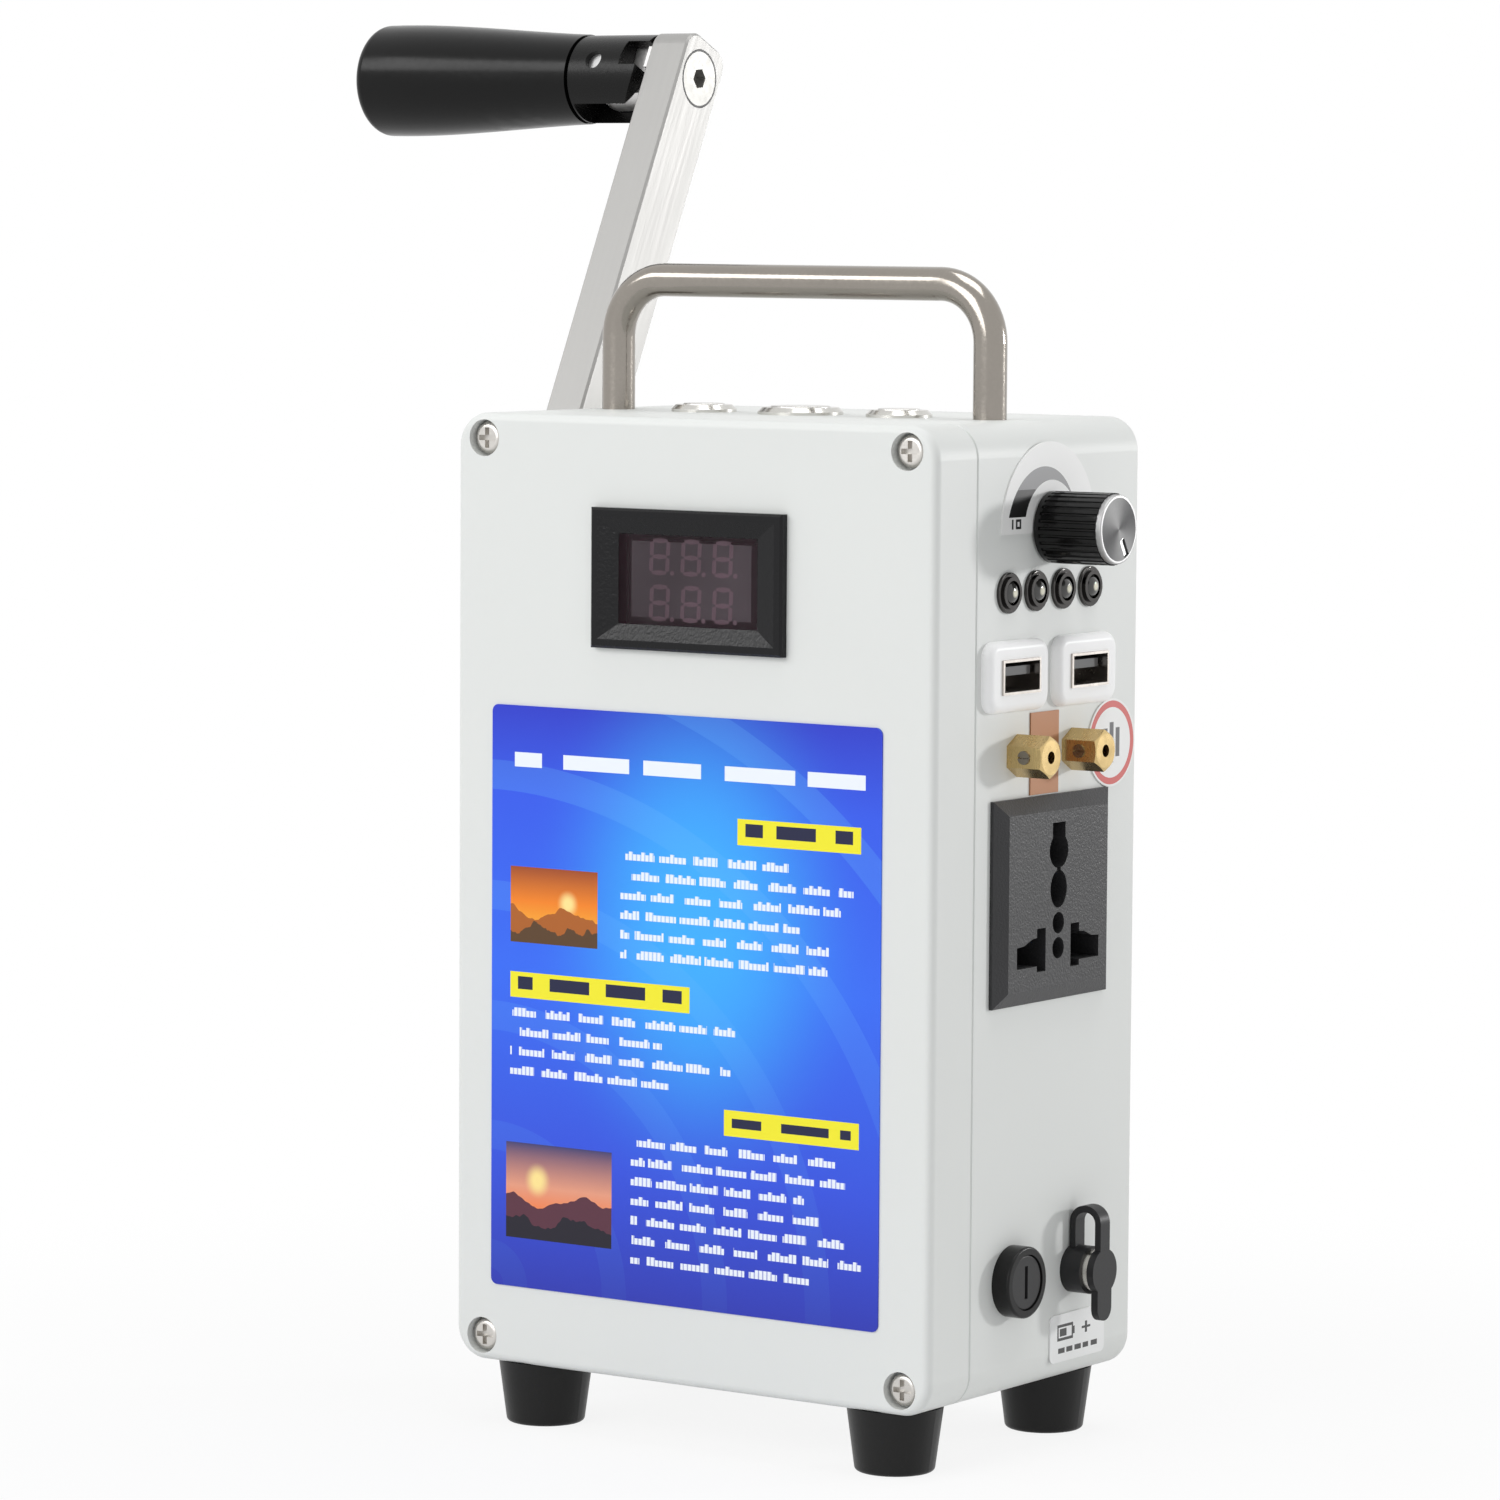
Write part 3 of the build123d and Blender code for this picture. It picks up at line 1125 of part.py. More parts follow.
def make_cap_strap():
    """The rubber ring round the jack and the band that loops from it up and over to the cap."""
    z = BOX_BOTTOM + JACK_UP
    ring = rod_x(RUBBER_RING_R, SIDE_X, SIDE_X + RUBBER_RING_L, JACK_Y, z)
    ring -= rod_x(JACK_RIM_R + SEAT_GAP, SIDE_X, SIDE_X + RUBBER_RING_L, JACK_Y, z)
    x0 = SIDE_X + STRAP_T / 2 + FREE_GAP
    x1 = SIDE_X + JACK_RIM_L + CAP_DISC_T - STRAP_T / 2
    foot_z = z + (RUBBER_RING_R + JACK_RIM_R) / 2
    cap_z = z + CAP_DISC_R - STRAP_T / 2
    top = z + STRAP_RISE - STRAP_T / 2
    path = FilletPolyline(
        (x0, JACK_Y, foot_z), (x0, JACK_Y, top), (x1, JACK_Y, top), (x1, JACK_Y, cap_z),
        radius=(x1 - x0) * 0.48,
    )
    start = Plane(origin=(x0, JACK_Y, foot_z), z_dir=(0, 0, 1))
    band = sweep(start * Rectangle(STRAP_T, STRAP_W), path)
    disc = rod_x(CAP_DISC_R + SEAT_GAP, SIDE_X + JACK_RIM_L, SIDE_X + JACK_RIM_L + CAP_DISC_T, JACK_Y, z)
    return ring + (band - disc)


def make_port_label():
    """The small white sticker under the jack."""
    z = BOX_BOTTOM + PORT_LABEL_UP
    x1 = SIDE_X + STICKER_T
    return plate_x(PORT_LABEL_W, PORT_LABEL_H, PORT_LABEL_R, SIDE_X, x1, PORT_LABEL_Y, z)


# ---------------------------------------------------------------- crank
# The crank's pieces are drawn with the arm upright above the shaft, then leaned back together.


def lean(shape):
    """Puts a piece of the crank at its resting angle."""
    return Pos(0, 0, SHAFT_Z) * Rot(-CRANK_LEAN, 0, 0) * shape


def make_arm():
    """The flat aluminium arm, round at the hub and blunt at the grip."""
    half = ARM_W / 2
    bar = block(ARM_OUT_X, ARM_IN_X, -half, half, 0, CRANK_L + ARM_TOP_L)
    corners = bar.edges().filter_by(Axis.X).group_by(Axis.Z)[-1]
    bar = fillet(corners, ARM_TOP_R) + rod_x(half, ARM_OUT_X, ARM_IN_X, 0, 0)
    bar = chamfer(bar.edges().group_by(Axis.X)[0], ARM_EDGE)
    bar = chamfer(bar.edges().group_by(Axis.X)[-1], ARM_EDGE)
    hole = SHAFT_SQUARE / 2 + SEAT_GAP
    bar -= block(ARM_OUT_X, ARM_IN_X, -hole, hole, -hole, hole)
    bar -= rod_x(GRIP_BOLT_R + HOLE_GAP, ARM_OUT_X, ARM_IN_X, 0, CRANK_L)
    tip = (ARM_IN_X, 0, CRANK_L)
    bar -= sink(GRIP_BOLT_R, GRIP_BOLT_HEAD_R + HOLE_GAP, GRIP_BOLT_HEAD_H, tip, (-1, 0, 0))
    return bar


def make_crank_shaft():
    """The shaft: a square end for the arm, a collar, the journal, and a thinner tail."""
    bush_face = -SIDE_X - BUSH_FLANGE_T - THRUST_GAP
    square = SHAFT_SQUARE / 2
    square_end = ARM_OUT_X + HOLE_GAP
    body = block(square_end, ARM_IN_X, -square, square, -square, square)
    body += rod_x(SHAFT_COLLAR_R, ARM_IN_X, bush_face, 0, 0)
    tail = PLATE_X - FREE_GAP
    body += rod_x(SHAFT_R, bush_face, tail, 0, 0)
    body += rod_x(SHAFT_TAIL_R, tail, tail + SHAFT_TAIL_L - FREE_GAP, 0, 0)
    return body - rod_x(HUB_SCREW_R + SEAT_GAP, square_end, square_end + HUB_SCREW_L, 0, 0)


def make_hub_screw():
    """The washer-headed screw that holds the arm on its shaft."""
    head = rod_x(HUB_HEAD_R, ARM_OUT_X - HUB_HEAD_T, ARM_OUT_X, 0, 0)
    head = chamfer(head.edges().group_by(Axis.X)[0], HUB_HEAD_T / 3)
    body = head + rod_x(HUB_SCREW_R, ARM_OUT_X, ARM_OUT_X + HUB_SCREW_L - HOLE_GAP, 0, 0)
    return body - hex_x(GRIP_BOLT_SOCKET, ARM_OUT_X - HUB_HEAD_T, ARM_OUT_X - HUB_HEAD_T / 3, 0, 0)


def make_bush():
    """The flanged bearing in the box wall."""
    face = -SIDE_X - BUSH_FLANGE_T
    body = rod_x(BUSH_FLANGE_R, face, -SIDE_X, 0, SHAFT_Z)
    body = chamfer(body.edges().group_by(Axis.X)[0], BUSH_FLANGE_T / 3)
    body += rod_x(BUSH_R, -SIDE_X, CASE_IN_X, 0, SHAFT_Z)
    return body - rod_x(SHAFT_R + RUN_GAP, face, CASE_IN_X, 0, SHAFT_Z)


def make_grip_bolt():
    """The flush countersunk bolt through the arm into the hinge block."""
    tip = (ARM_IN_X, 0, CRANK_L)
    body = sink(GRIP_BOLT_R, GRIP_BOLT_HEAD_R, GRIP_BOLT_HEAD_H, tip, (-1, 0, 0))
    end = ARM_OUT_X - GRIP_BOLT_BITE + HOLE_GAP
    body += rod_x(GRIP_BOLT_R, end, ARM_IN_X - GRIP_BOLT_HEAD_H / 2, 0, CRANK_L)
    return body - hex_x(GRIP_BOLT_SOCKET, ARM_IN_X - GRIP_BOLT_SOCKET_DEPTH, ARM_IN_X, 0, CRANK_L)


def make_hinge_block():
    """The light metal tongue that the ferrule folds about, with a key on its near side."""
    half = TONGUE_W / 2
    body = block(PIN_X, ARM_OUT_X, -half, half, CRANK_L - TONGUE_R, CRANK_L + TONGUE_R)
    body += rod_y(TONGUE_R, -half, half, PIN_X, CRANK_L)
    key_z = CRANK_L + KEY_OFFSET
    body += block(ARM_OUT_X - KEY_T, ARM_OUT_X, -half - KEY_W / 2, -half, key_z - KEY_W / 2, key_z + KEY_W / 2)
    body -= rod_x(GRIP_BOLT_R + SEAT_GAP, ARM_OUT_X - GRIP_BOLT_BITE, ARM_OUT_X, 0, CRANK_L)
    return body - rod_y(PIN_R + SEAT_GAP, -half, half, PIN_X, CRANK_L)


def make_hinge_pin():
    """The pin that the ferrule folds about."""
    half = FERRULE_R - PIN_SUNK
    return rod_y(PIN_R, -half, half, PIN_X, CRANK_L)


def make_ferrule():
    """The slotted metal sleeve that folds, with the spindle that the grip revolves on."""
    start = FERRULE_END_X + FERRULE_L
    body = rod_x(FERRULE_R, FERRULE_END_X, start, 0, CRANK_L)
    body = chamfer(body.edges().group_by(Axis.X)[0], FERRULE_EDGE)
    slot = TONGUE_W / 2 + FERRULE_SIDE_GAP
    reach = TONGUE_R + FERRULE_SLOT_CLEAR
    far = PIN_X - reach
    body -= block(far, start, -slot, slot, CRANK_L - FERRULE_R, CRANK_L + reach)
    body -= relief(start)
    notch_z = CRANK_L + KEY_OFFSET
    half = FERRULE_NOTCH_W / 2
    body -= block(start - FERRULE_NOTCH_L, start, -FERRULE_R, -slot, notch_z - half, notch_z + half)
    body -= rod_y(PIN_R + RUN_GAP, -FERRULE_R, FERRULE_R, PIN_X, CRANK_L)
    return body + rod_x(SPINDLE_R, SPINDLE_END_X, FERRULE_END_X, 0, CRANK_L)


def relief(start):
    """What comes off the ferrule's lower end so that it swings clear of the arm and its key."""
    keep = PIN_OUT - KEY_T - FREE_GAP
    lower = block(PIN_X, start, -FERRULE_R, FERRULE_R, CRANK_L - FERRULE_R, CRANK_L + KEY_OFFSET)
    return lower - rod_y(keep, -FERRULE_R, FERRULE_R, PIN_X, CRANK_L)


def make_grip():
    """The smooth black grip, narrow at the ferrule and thick at its far end."""
    x0 = GRIP_START_X
    x1 = GRIP_START_X - GRIP_L
    neck = (x0, GRIP_NECK_R)
    waist = (x0 - GRIP_L * 0.22, GRIP_WAIST_R)
    swell = (x0 - GRIP_L * 0.62, GRIP_END_R - (GRIP_END_R - GRIP_WAIST_R) * 0.18)
    end = (x1, GRIP_END_R)
    side = Spline(neck, waist, swell, end)
    outline = side + Polyline(end, (x1, 0), (x0, 0), neck)
    profile = Plane.XZ * make_face(outline)
    body = Pos(0, 0, CRANK_L) * revolve(profile, Axis.X)
    body = fillet(body.edges().group_by(Axis.X)[0], GRIP_END_ROUND)
    bore_end = SPINDLE_END_X - SPINDLE_END_GAP
    return body - rod_x(SPINDLE_R + RUN_GAP, bore_end, x0, 0, CRANK_L)


# ---------------------------------------------------------------- gears and generator


def gear(teeth, module, x0, x1, z, first, bore_r):
    """A spur gear about an X axis, with a tooth's middle at the angle first (degrees, from +Y)."""
    pitch_r = module * teeth / 2
    tip_r = pitch_r + ADDENDUM * module
    root_r = pitch_r - DEDENDUM * module
    half = TOOTH_FULLNESS * math.pi * module / 4
    slope = math.tan(math.radians(FLANK_ANGLE))
    tip_half = (half - ADDENDUM * module * slope) / tip_r
    root_half = (half + DEDENDUM * module * slope) / root_r
    points = []
    for i in range(teeth):
        middle = math.radians(first) + 2 * math.pi * i / teeth
        corners = [(root_r, -root_half), (tip_r, -tip_half), (tip_r, tip_half), (root_r, root_half)]
        for radius, offset in corners:
            points.append((radius * math.cos(middle + offset), radius * math.sin(middle + offset)))
    outline = make_face(Polyline(*points, close=True))
    disc = Pos(x0, 0, z) * extrude(Plane.YZ * outline, x1 - x0)
    return disc - rod_x(bore_r, x0, x1, 0, z)


def make_drive_gear():
    """The large gear on the crank shaft, with a tooth pointing down at the idler."""
    return gear(DRIVE_TEETH, DRIVE_MODULE, DRIVE_X, DRIVE_X + GEAR_T, SHAFT_Z, -90, SHAFT_R + SEAT_GAP)


def make_idler_gear():
    """The idler: a small pinion under the drive gear, and a large gear beside it."""
    gap_up = 90 + 180 / DRIVE_PINION_TEETH
    bore = IDLER_SHAFT_R + RUN_GAP
    pinion_x = DRIVE_X - PINION_EXTRA
    pinion = gear(DRIVE_PINION_TEETH, DRIVE_MODULE, pinion_x, SECOND_X, IDLER_Z, gap_up, bore)
    return pinion + gear(SECOND_TEETH, SECOND_MODULE, SECOND_X, SECOND_X + GEAR_T, IDLER_Z, -90, bore)


def make_idler_shaft():
    """The fixed shaft between the two sides of the gear case."""
    x0 = -INNER_X + CASE_T / 3
    return rod_x(IDLER_SHAFT_R, x0, PLATE_X + CASE_T * 2 / 3, 0, IDLER_Z)


def case_outline(shrink):
    """The gear case seen from the side, drawn in by a margin."""
    top = Pos(0, SHAFT_Z) * Circle(CASE_TOP_R - shrink)
    low = Pos(0, ROTOR_Z) * Circle(CASE_LOW_R - shrink)
    return make_hull(top.edges() + low.edges())


def make_case():
    """The gear case's cup, with a flange against the left wall."""
    z0, z1 = case_bottom(), case_top()
    x0 = -INNER_X
    body = plate_x(CASE_FLANGE_W, z1 - z0, CASE_FLANGE_R, x0, CASE_IN_X, 0, (z0 + z1) / 2)
    body += Pos(x0, 0, 0) * extrude(Plane.YZ * case_outline(0), PLATE_X - x0)
    for y, z in case_screw_points():
        body += rod_x(M3_BOSS_R, x0, x0 + CASE_BOSS_H, y, z)
    body -= Pos(CASE_IN_X, 0, 0) * extrude(Plane.YZ * case_outline(CASE_WALL), PLATE_X - CASE_IN_X)
    body -= rod_x(BUSH_R + SEAT_GAP, x0, CASE_IN_X, 0, SHAFT_Z)
    body -= rod_x(IDLER_SHAFT_R + SEAT_GAP, x0 + CASE_T / 3, CASE_IN_X, 0, IDLER_Z)
    body -= rod_x(ROTOR_SHAFT_R + RUN_GAP, x0 + CASE_T / 3, CASE_IN_X, 0, ROTOR_Z)
    for y, z in case_screw_points():
        body -= rod_x(M3_R + SEAT_GAP, x0, x0 + CASE_BOSS_H, y, z)
    return body


def make_case_plate():
    """The plate that closes the gear case and carries the generator."""
    body = Pos(PLATE_X, 0, 0) * extrude(Plane.YZ * case_outline(0), CASE_T)
    body -= rod_x(SHAFT_TAIL_R + RUN_GAP, PLATE_X, CAN_X, 0, SHAFT_Z)
    body -= rod_x(IDLER_SHAFT_R + SEAT_GAP, PLATE_X, PLATE_X + CASE_T * 2 / 3, 0, IDLER_Z)
    return body - rod_x(ROTOR_SHAFT_R + RUN_GAP, PLATE_X, CAN_X, 0, ROTOR_Z)


def make_can():
    """The generator's can."""
    x1 = CAN_X + CAN_L
    body = rod_x(CAN_R, CAN_X, x1, 0, ROTOR_Z)
    body = fillet(body.edges().group_by(Axis.X)[-1], CAN_WALL)
    body -= rod_x(CAN_R - CAN_WALL, CAN_X + CAN_END_T, x1 - CAN_END_T, 0, ROTOR_Z)
    return body - rod_x(ROTOR_SHAFT_R + RUN_GAP, CAN_X, x1, 0, ROTOR_Z)


def make_rotor():
    """The generator's rotor, with its shaft and pinion."""
    middle = CAN_X + CAN_L / 2
    body = rod_x(ROTOR_SHAFT_R, -INNER_X + CASE_T / 2, CAN_X + CAN_L, 0, ROTOR_Z)
    body += rod_x(ROTOR_R, middle - ROTOR_L / 2, middle + ROTOR_L / 2, 0, ROTOR_Z)
    gap_up = 90 + 180 / ROTOR_TEETH
    return body + gear(ROTOR_TEETH, SECOND_MODULE, SECOND_X, SECOND_X + GEAR_T, ROTOR_Z, gap_up, 0.5)


# ---------------------------------------------------------------- battery and boards


def cell_points():
    """Where the cells stand."""
    columns = [CELL_FIRST_X + i * CELL_PITCH for i in range(CELL_COLUMNS)]
    rows = [(j - (CELL_ROWS - 1) / 2) * CELL_PITCH for j in range(CELL_ROWS)]
    return [(x, y) for x in columns for y in rows]


def make_tray():
    """The frame that holds the cells, standing on the floor of the housing."""
    x0 = CELL_FIRST_X - CELL_PITCH / 2
    x1 = x0 + CELL_COLUMNS * CELL_PITCH
    half = CELL_ROWS * CELL_PITCH / 2
    z0 = FLOOR_Z
    cell_z = z0 + TRAY_T - TRAY_POCKET
    z1 = z0 + TRAY_H
    body = block(x0, x1, -half, half, z0, z0 + TRAY_T) + block(x0, x1, -half, half, z1 - TRAY_T, z1)
    for x in (x0, x1):
        body += block(x - TRAY_END_T / 2, x + TRAY_END_T / 2, -half, half, z0, z1)
    for x, y in cell_points():
        body -= rod_z(CELL_R + HOLE_GAP, cell_z, cell_z + CELL_L, x, y)
    for j in range(CELL_ROWS):
        y = (j - (CELL_ROWS - 1) / 2) * CELL_PITCH
        w = LINK_W / 2 + HOLE_GAP
        body -= block(x0 + TRAY_END_T, x1 - TRAY_END_T, y - w, y + w, cell_z + CELL_L, z1)
    return body


def make_cells():
    """The cells."""
    z0 = FLOOR_Z + TRAY_T - TRAY_POCKET
    cells = [rod_z(CELL_R, z0, z0 + CELL_L, x, y) for x, y in cell_points()]
    links = []
    for j in range(CELL_ROWS):
        y = (j - (CELL_ROWS - 1) / 2) * CELL_PITCH
        x1 = CELL_FIRST_X + (CELL_COLUMNS - 1) * CELL_PITCH
        links.append(
            block(CELL_FIRST_X, x1, y - LINK_W / 2, y + LINK_W / 2, z0 + CELL_L, z0 + CELL_L + LINK_T)
        )
    return cells + links


def board(x_range, up_range):
    """A circuit board on its standoffs."""
    z0, z1 = BOX_BOTTOM + up_range[0], BOX_BOTTOM + up_range[1]
    body = block(x_range[0], x_range[1], BOARD_BACK_Y - BOARD_T, BOARD_BACK_Y, z0, z1)
    for x, z in board_holes(x_range, up_range):
        body -= rod_y(BOARD_SCREW_R + HOLE_GAP, BOARD_BACK_Y - BOARD_T, BOARD_BACK_Y, x, z)
    return body


def capacitors():
    """Three round capacitors on the inverter board."""
    y = BOARD_BACK_Y - BOARD_T
    x = TRANSFORMER_X + TRANSFORMER_W / 2 + CAPACITOR_R + 2 * CAPACITOR_GAP
    z = BOX_BOTTOM + TRANSFORMER_UP
    step = 2 * CAPACITOR_R + CAPACITOR_GAP
    return [rod_y(CAPACITOR_R, y - CAPACITOR_L, y, x, z + i * step) for i in (-1, 0, 1)]


def make_boards():
    """The inverter board and the charge board, with what is soldered to them."""
    inverter = board(INVERTER_X, INVERTER_UP)
    for part in capacitors():
        inverter += part
    y = BOARD_BACK_Y - BOARD_T
    x = INVERTER_X[0] + HEATSINK_INSET
    z = BOX_BOTTOM + INVERTER_LOW + HEATSINK_RAISE
    inverter += block(x, x + HEATSINK_W, y - HEATSINK_T, y, z - HEATSINK_H / 2, z + HEATSINK_H / 2)
    charger = board(CHARGER_X, CHARGER_UP)
    z = BOX_BOTTOM + (CHARGER_UP[0] + CHARGER_UP[1]) / 2
    x = CHARGER_X[0] + COIL_BLOCK_INSET
    half = COIL_BLOCK_W / 2
    charger += block(x, x + COIL_BLOCK_W, y - COIL_BLOCK_T, y, z - half, z + half)
    x = CHARGER_X[0] + PLUG_INSET
    charger += block(x, x + PLUG_W, y - PLUG_T, y, z - PLUG_H / 2, z + PLUG_H / 2)
    return [inverter, charger]


def make_transformer():
    """The transformer on the inverter board: two yokes and a wound middle."""
    y1 = BOARD_BACK_Y - BOARD_T
    y0 = y1 - TRANSFORMER_T
    z = BOX_BOTTOM + TRANSFORMER_UP
    x0, x1 = TRANSFORMER_X - TRANSFORMER_W / 2, TRANSFORMER_X + TRANSFORMER_W / 2
    h = TRANSFORMER_H / 2
    body = block(x0, x1, y0, y1, z - h, z - h + TRANSFORMER_YOKE)
    body += block(x0, x1, y0, y1, z + h - TRANSFORMER_YOKE, z + h)
    body += rod_z(TRANSFORMER_T / 2 - COIL_INSET, z - h, z + h, TRANSFORMER_X, (y0 + y1) / 2)
    for x in (x0, x1 - TRANSFORMER_YOKE):
        body += block(x, x + TRANSFORMER_YOKE, y0, y1, z - h, z + h)
    return body


def board_screw(x, z):
    """A screw through a board into its standoff."""
    y = BOARD_BACK_Y - BOARD_T
    head = rod_y(BOARD_HEAD_R, y - BOARD_HEAD_H, y, x, z)
    return head + rod_y(BOARD_SCREW_R, y, BOARD_BACK_Y + BOARD_SCREW_BITE - HOLE_GAP, x, z)


# ---------------------------------------------------------------- the whole part


def build():
    """Writes every piece."""
    os.makedirs("parts", exist_ok=True)
    save("front_cover", make_cover())
    save("rear_housing", make_housing())
    save("cover_gasket", seal_ring(SEAL_INSET, SEAL_W, SEAM_Y, SEAM_Y + SEAL_DEPTH))
    save("cover_screws", *[cover_screw(x, z) for x, z in cover_screw_points()])
    save("front_label", make_label())
    save("meter_bezel", make_meter_bezel())
    save("meter_window", make_meter_window())
    save("meter_display", make_meter_display())
    save("carry_handle", make_handle())
    ends = (-HANDLE_SPAN / 2, HANDLE_SPAN / 2)
    save("handle_screws", *[handle_screw(x) for x in ends], *[handle_washer(x) for x in ends])
    save("button_barrels", *[button_barrel(*spec) for spec in button_specs().values()])
    for name, (x, _, _, cap_r) in button_specs().items():
        save(f"button_{name}_cap", button_cap(x, cap_r))
    save("panel_nuts", *make_panel_nuts())
    save("dial_sticker", make_dial())
    save("knob_body", make_knob_body())
    save("knob_cap", make_knob_cap())
    save("pot_shaft", make_pot_shaft())
    save("pot_body", make_pot_body())
    save("led_holders", *[led_holder(y) for y in led_centres()])
    save("led_lamps", *[led_lamp(y) for y in led_centres()])
    save("usb_bezels", *[usb_bezel(y) for y in usb_centres()])
    save("usb_shells", *[usb_shell(y) for y in usb_centres()])
    save("usb_tongues", *[usb_tongue(y) for y in usb_centres()])
    save("terminals", *[terminal(y) for y in terminal_centres()])
    save("terminal_screws", *[set_screw(y) for y in terminal_centres()])
    save("terminal_strip", make_strip())
    save("ring_sticker", make_ring_sticker())
    save("ac_socket", make_socket())
    save("fuse_holder", make_fuse_holder())
    save("fuse_cap", make_fuse_cap())
    save("fuse_link", make_fuse_link())
    save("jack_body", make_jack())
    save("jack_cap", make_jack_cap())
    save("cap_strap", make_cap_strap())
    save("port_label", make_port_label())
    save("rubber_feet", *[foot(x, y) for x, y in foot_points()])
    screws = [foot_screw(x, y) for x, y in foot_points()]
    save("case_screws", *screws, *[case_screw(y, z) for y, z in case_screw_points()])
    save("crank_arm", lean(make_arm()))
    save("crank_shaft", lean(make_crank_shaft()))
    save("crank_screw", lean(make_hub_screw()))
    save("shaft_bush", make_bush())
    save("grip_bolt", lean(make_grip_bolt()))
    save("hinge_block", lean(make_hinge_block()))
    save("hinge_pin", lean(make_hinge_pin()))
    save("grip_ferrule", lean(make_ferrule()))
    save("grip", lean(make_grip()))
    save("gear_case", make_case())
    save("gear_plate", make_case_plate())
    save("drive_gear", make_drive_gear())
    save("idler_gear", make_idler_gear())
    save("idler_shaft", make_idler_shaft())
    save("generator_can", make_can())
    save("generator_rotor", make_rotor())
    save("battery_tray", make_tray())
    save("battery_cells", *make_cells())
    save("circuit_boards", *make_boards())
    save("transformer", make_transformer())
    save("board_screws", *[board_screw(x, z) for x, z in board_points()])


build()
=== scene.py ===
"""The looks of a hand crank generator: a light grey box with a folding crank, on rubber feet."""

import bpy
import math
from mathutils import Matrix, Vector


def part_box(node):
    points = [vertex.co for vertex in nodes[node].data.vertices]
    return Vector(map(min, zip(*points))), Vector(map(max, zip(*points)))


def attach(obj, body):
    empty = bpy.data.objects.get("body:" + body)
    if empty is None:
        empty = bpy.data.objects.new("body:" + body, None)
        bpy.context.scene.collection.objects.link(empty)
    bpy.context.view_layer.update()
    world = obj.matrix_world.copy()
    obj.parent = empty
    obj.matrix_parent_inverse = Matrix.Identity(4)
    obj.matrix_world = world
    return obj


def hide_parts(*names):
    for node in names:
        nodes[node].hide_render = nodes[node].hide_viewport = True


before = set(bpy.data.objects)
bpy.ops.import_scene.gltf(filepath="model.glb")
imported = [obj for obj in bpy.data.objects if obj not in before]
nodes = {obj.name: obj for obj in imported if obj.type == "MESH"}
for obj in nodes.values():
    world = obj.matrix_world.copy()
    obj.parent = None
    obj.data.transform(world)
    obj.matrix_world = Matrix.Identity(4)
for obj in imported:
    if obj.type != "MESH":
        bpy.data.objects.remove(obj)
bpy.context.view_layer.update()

# ---------------------------------------------------------------- camera
# A long lens that looks a little down on the box from its front right, turned by a third of a degree.
floor_to_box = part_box("rear_housing")[0].z
turn, tilt, roll = math.radians(34.854), math.radians(4.948), math.radians(0.364)
back = Vector((math.sin(turn) * math.cos(tilt), -math.cos(turn) * math.cos(tilt), math.sin(tilt)))
side = (-back).cross(Vector((0, 0, 1))).normalized()
rise = side.cross(-back)
rolled_side = side * math.cos(roll) + rise * math.sin(roll)
rolled_rise = rise * math.cos(roll) - side * math.sin(roll)
sensor_mm, focal_pixels, picture_pixels = 36, 6299.3, 1500
camera_data = bpy.data.cameras.new("camera")
camera_data.sensor_width = sensor_mm
camera_data.lens = sensor_mm * focal_pixels / picture_pixels
camera_data.clip_end = 20
camera = bpy.data.objects.new("camera", camera_data)
bpy.context.scene.collection.objects.link(camera)
place = Matrix((rolled_side, rolled_rise, back)).transposed().to_4x4()
place.translation = (0.744884, -1.086269, 0.24358 + floor_to_box)
camera.matrix_world = place
bpy.context.scene.camera = camera

# ---------------------------------------------------------------- light and floor
# A broad lamp in front, a weaker one at the front left, a soft one overhead, and a small one behind on the
# right, which throws the knob's and the sockets' shadows forward along the side of the box. The floor is
# white paper that fades into the white sky.


def area_lamp(name, location, target, size, watts):
    """A square lamp that faces a point."""
    data = bpy.data.lights.new(name, "AREA")
    data.size = size
    data.energy = watts
    lamp = bpy.data.objects.new(name, data)
    bpy.context.scene.collection.objects.link(lamp)
    lamp.location = location
    lamp.rotation_euler = (Vector(target) - Vector(location)).to_track_quat("-Z", "Y").to_euler()


area_lamp("front_lamp", (-0.35, -1.9, 0.95), (0, 0, 0.11), 1.2, 17.0)
area_lamp("left_lamp", (-1.15, -1.2, 1.1), (0, 0, 0.15), 0.6, 5.0)
area_lamp("rear_right_lamp", (0.95, 1.15, 0.34), (0.06, 0, 0.17), 0.13, 6.5)
area_lamp("top_lamp", (0.2, 0.1, 1.6), (0, 0, 0.1), 0.9, 9.0)
bpy.context.scene.view_settings.view_transform = "Standard"


def seen_or_mirrored(tree):
    """1 for what the camera sees, straight or through metal and glass, and 0 for what only gives light."""
    path = tree.nodes.new("ShaderNodeLightPath")
    both = None
    for label in ("Is Camera Ray", "Is Glossy Ray", "Is Transmission Ray"):
        if both is None:
            both = path.outputs[label]
            continue
        wider = tree.nodes.new("ShaderNodeMath")
        wider.operation = "MAXIMUM"
        tree.links.new(both, wider.inputs[0])
        tree.links.new(path.outputs[label], wider.inputs[1])
        both = wider.outputs[0]
    return both


def map_range(tree, value, numbers, curve="LINEAR"):
    """Carries a socket from one span to another. The numbers are the ends of the first span, then of the second."""
    made = tree.nodes.new("ShaderNodeMapRange")
    made.interpolation_type = curve
    for i, number in enumerate(numbers):
        made.inputs[i + 1].default_value = number
    tree.links.new(value, made.inputs[0])
    return made.outputs[0]


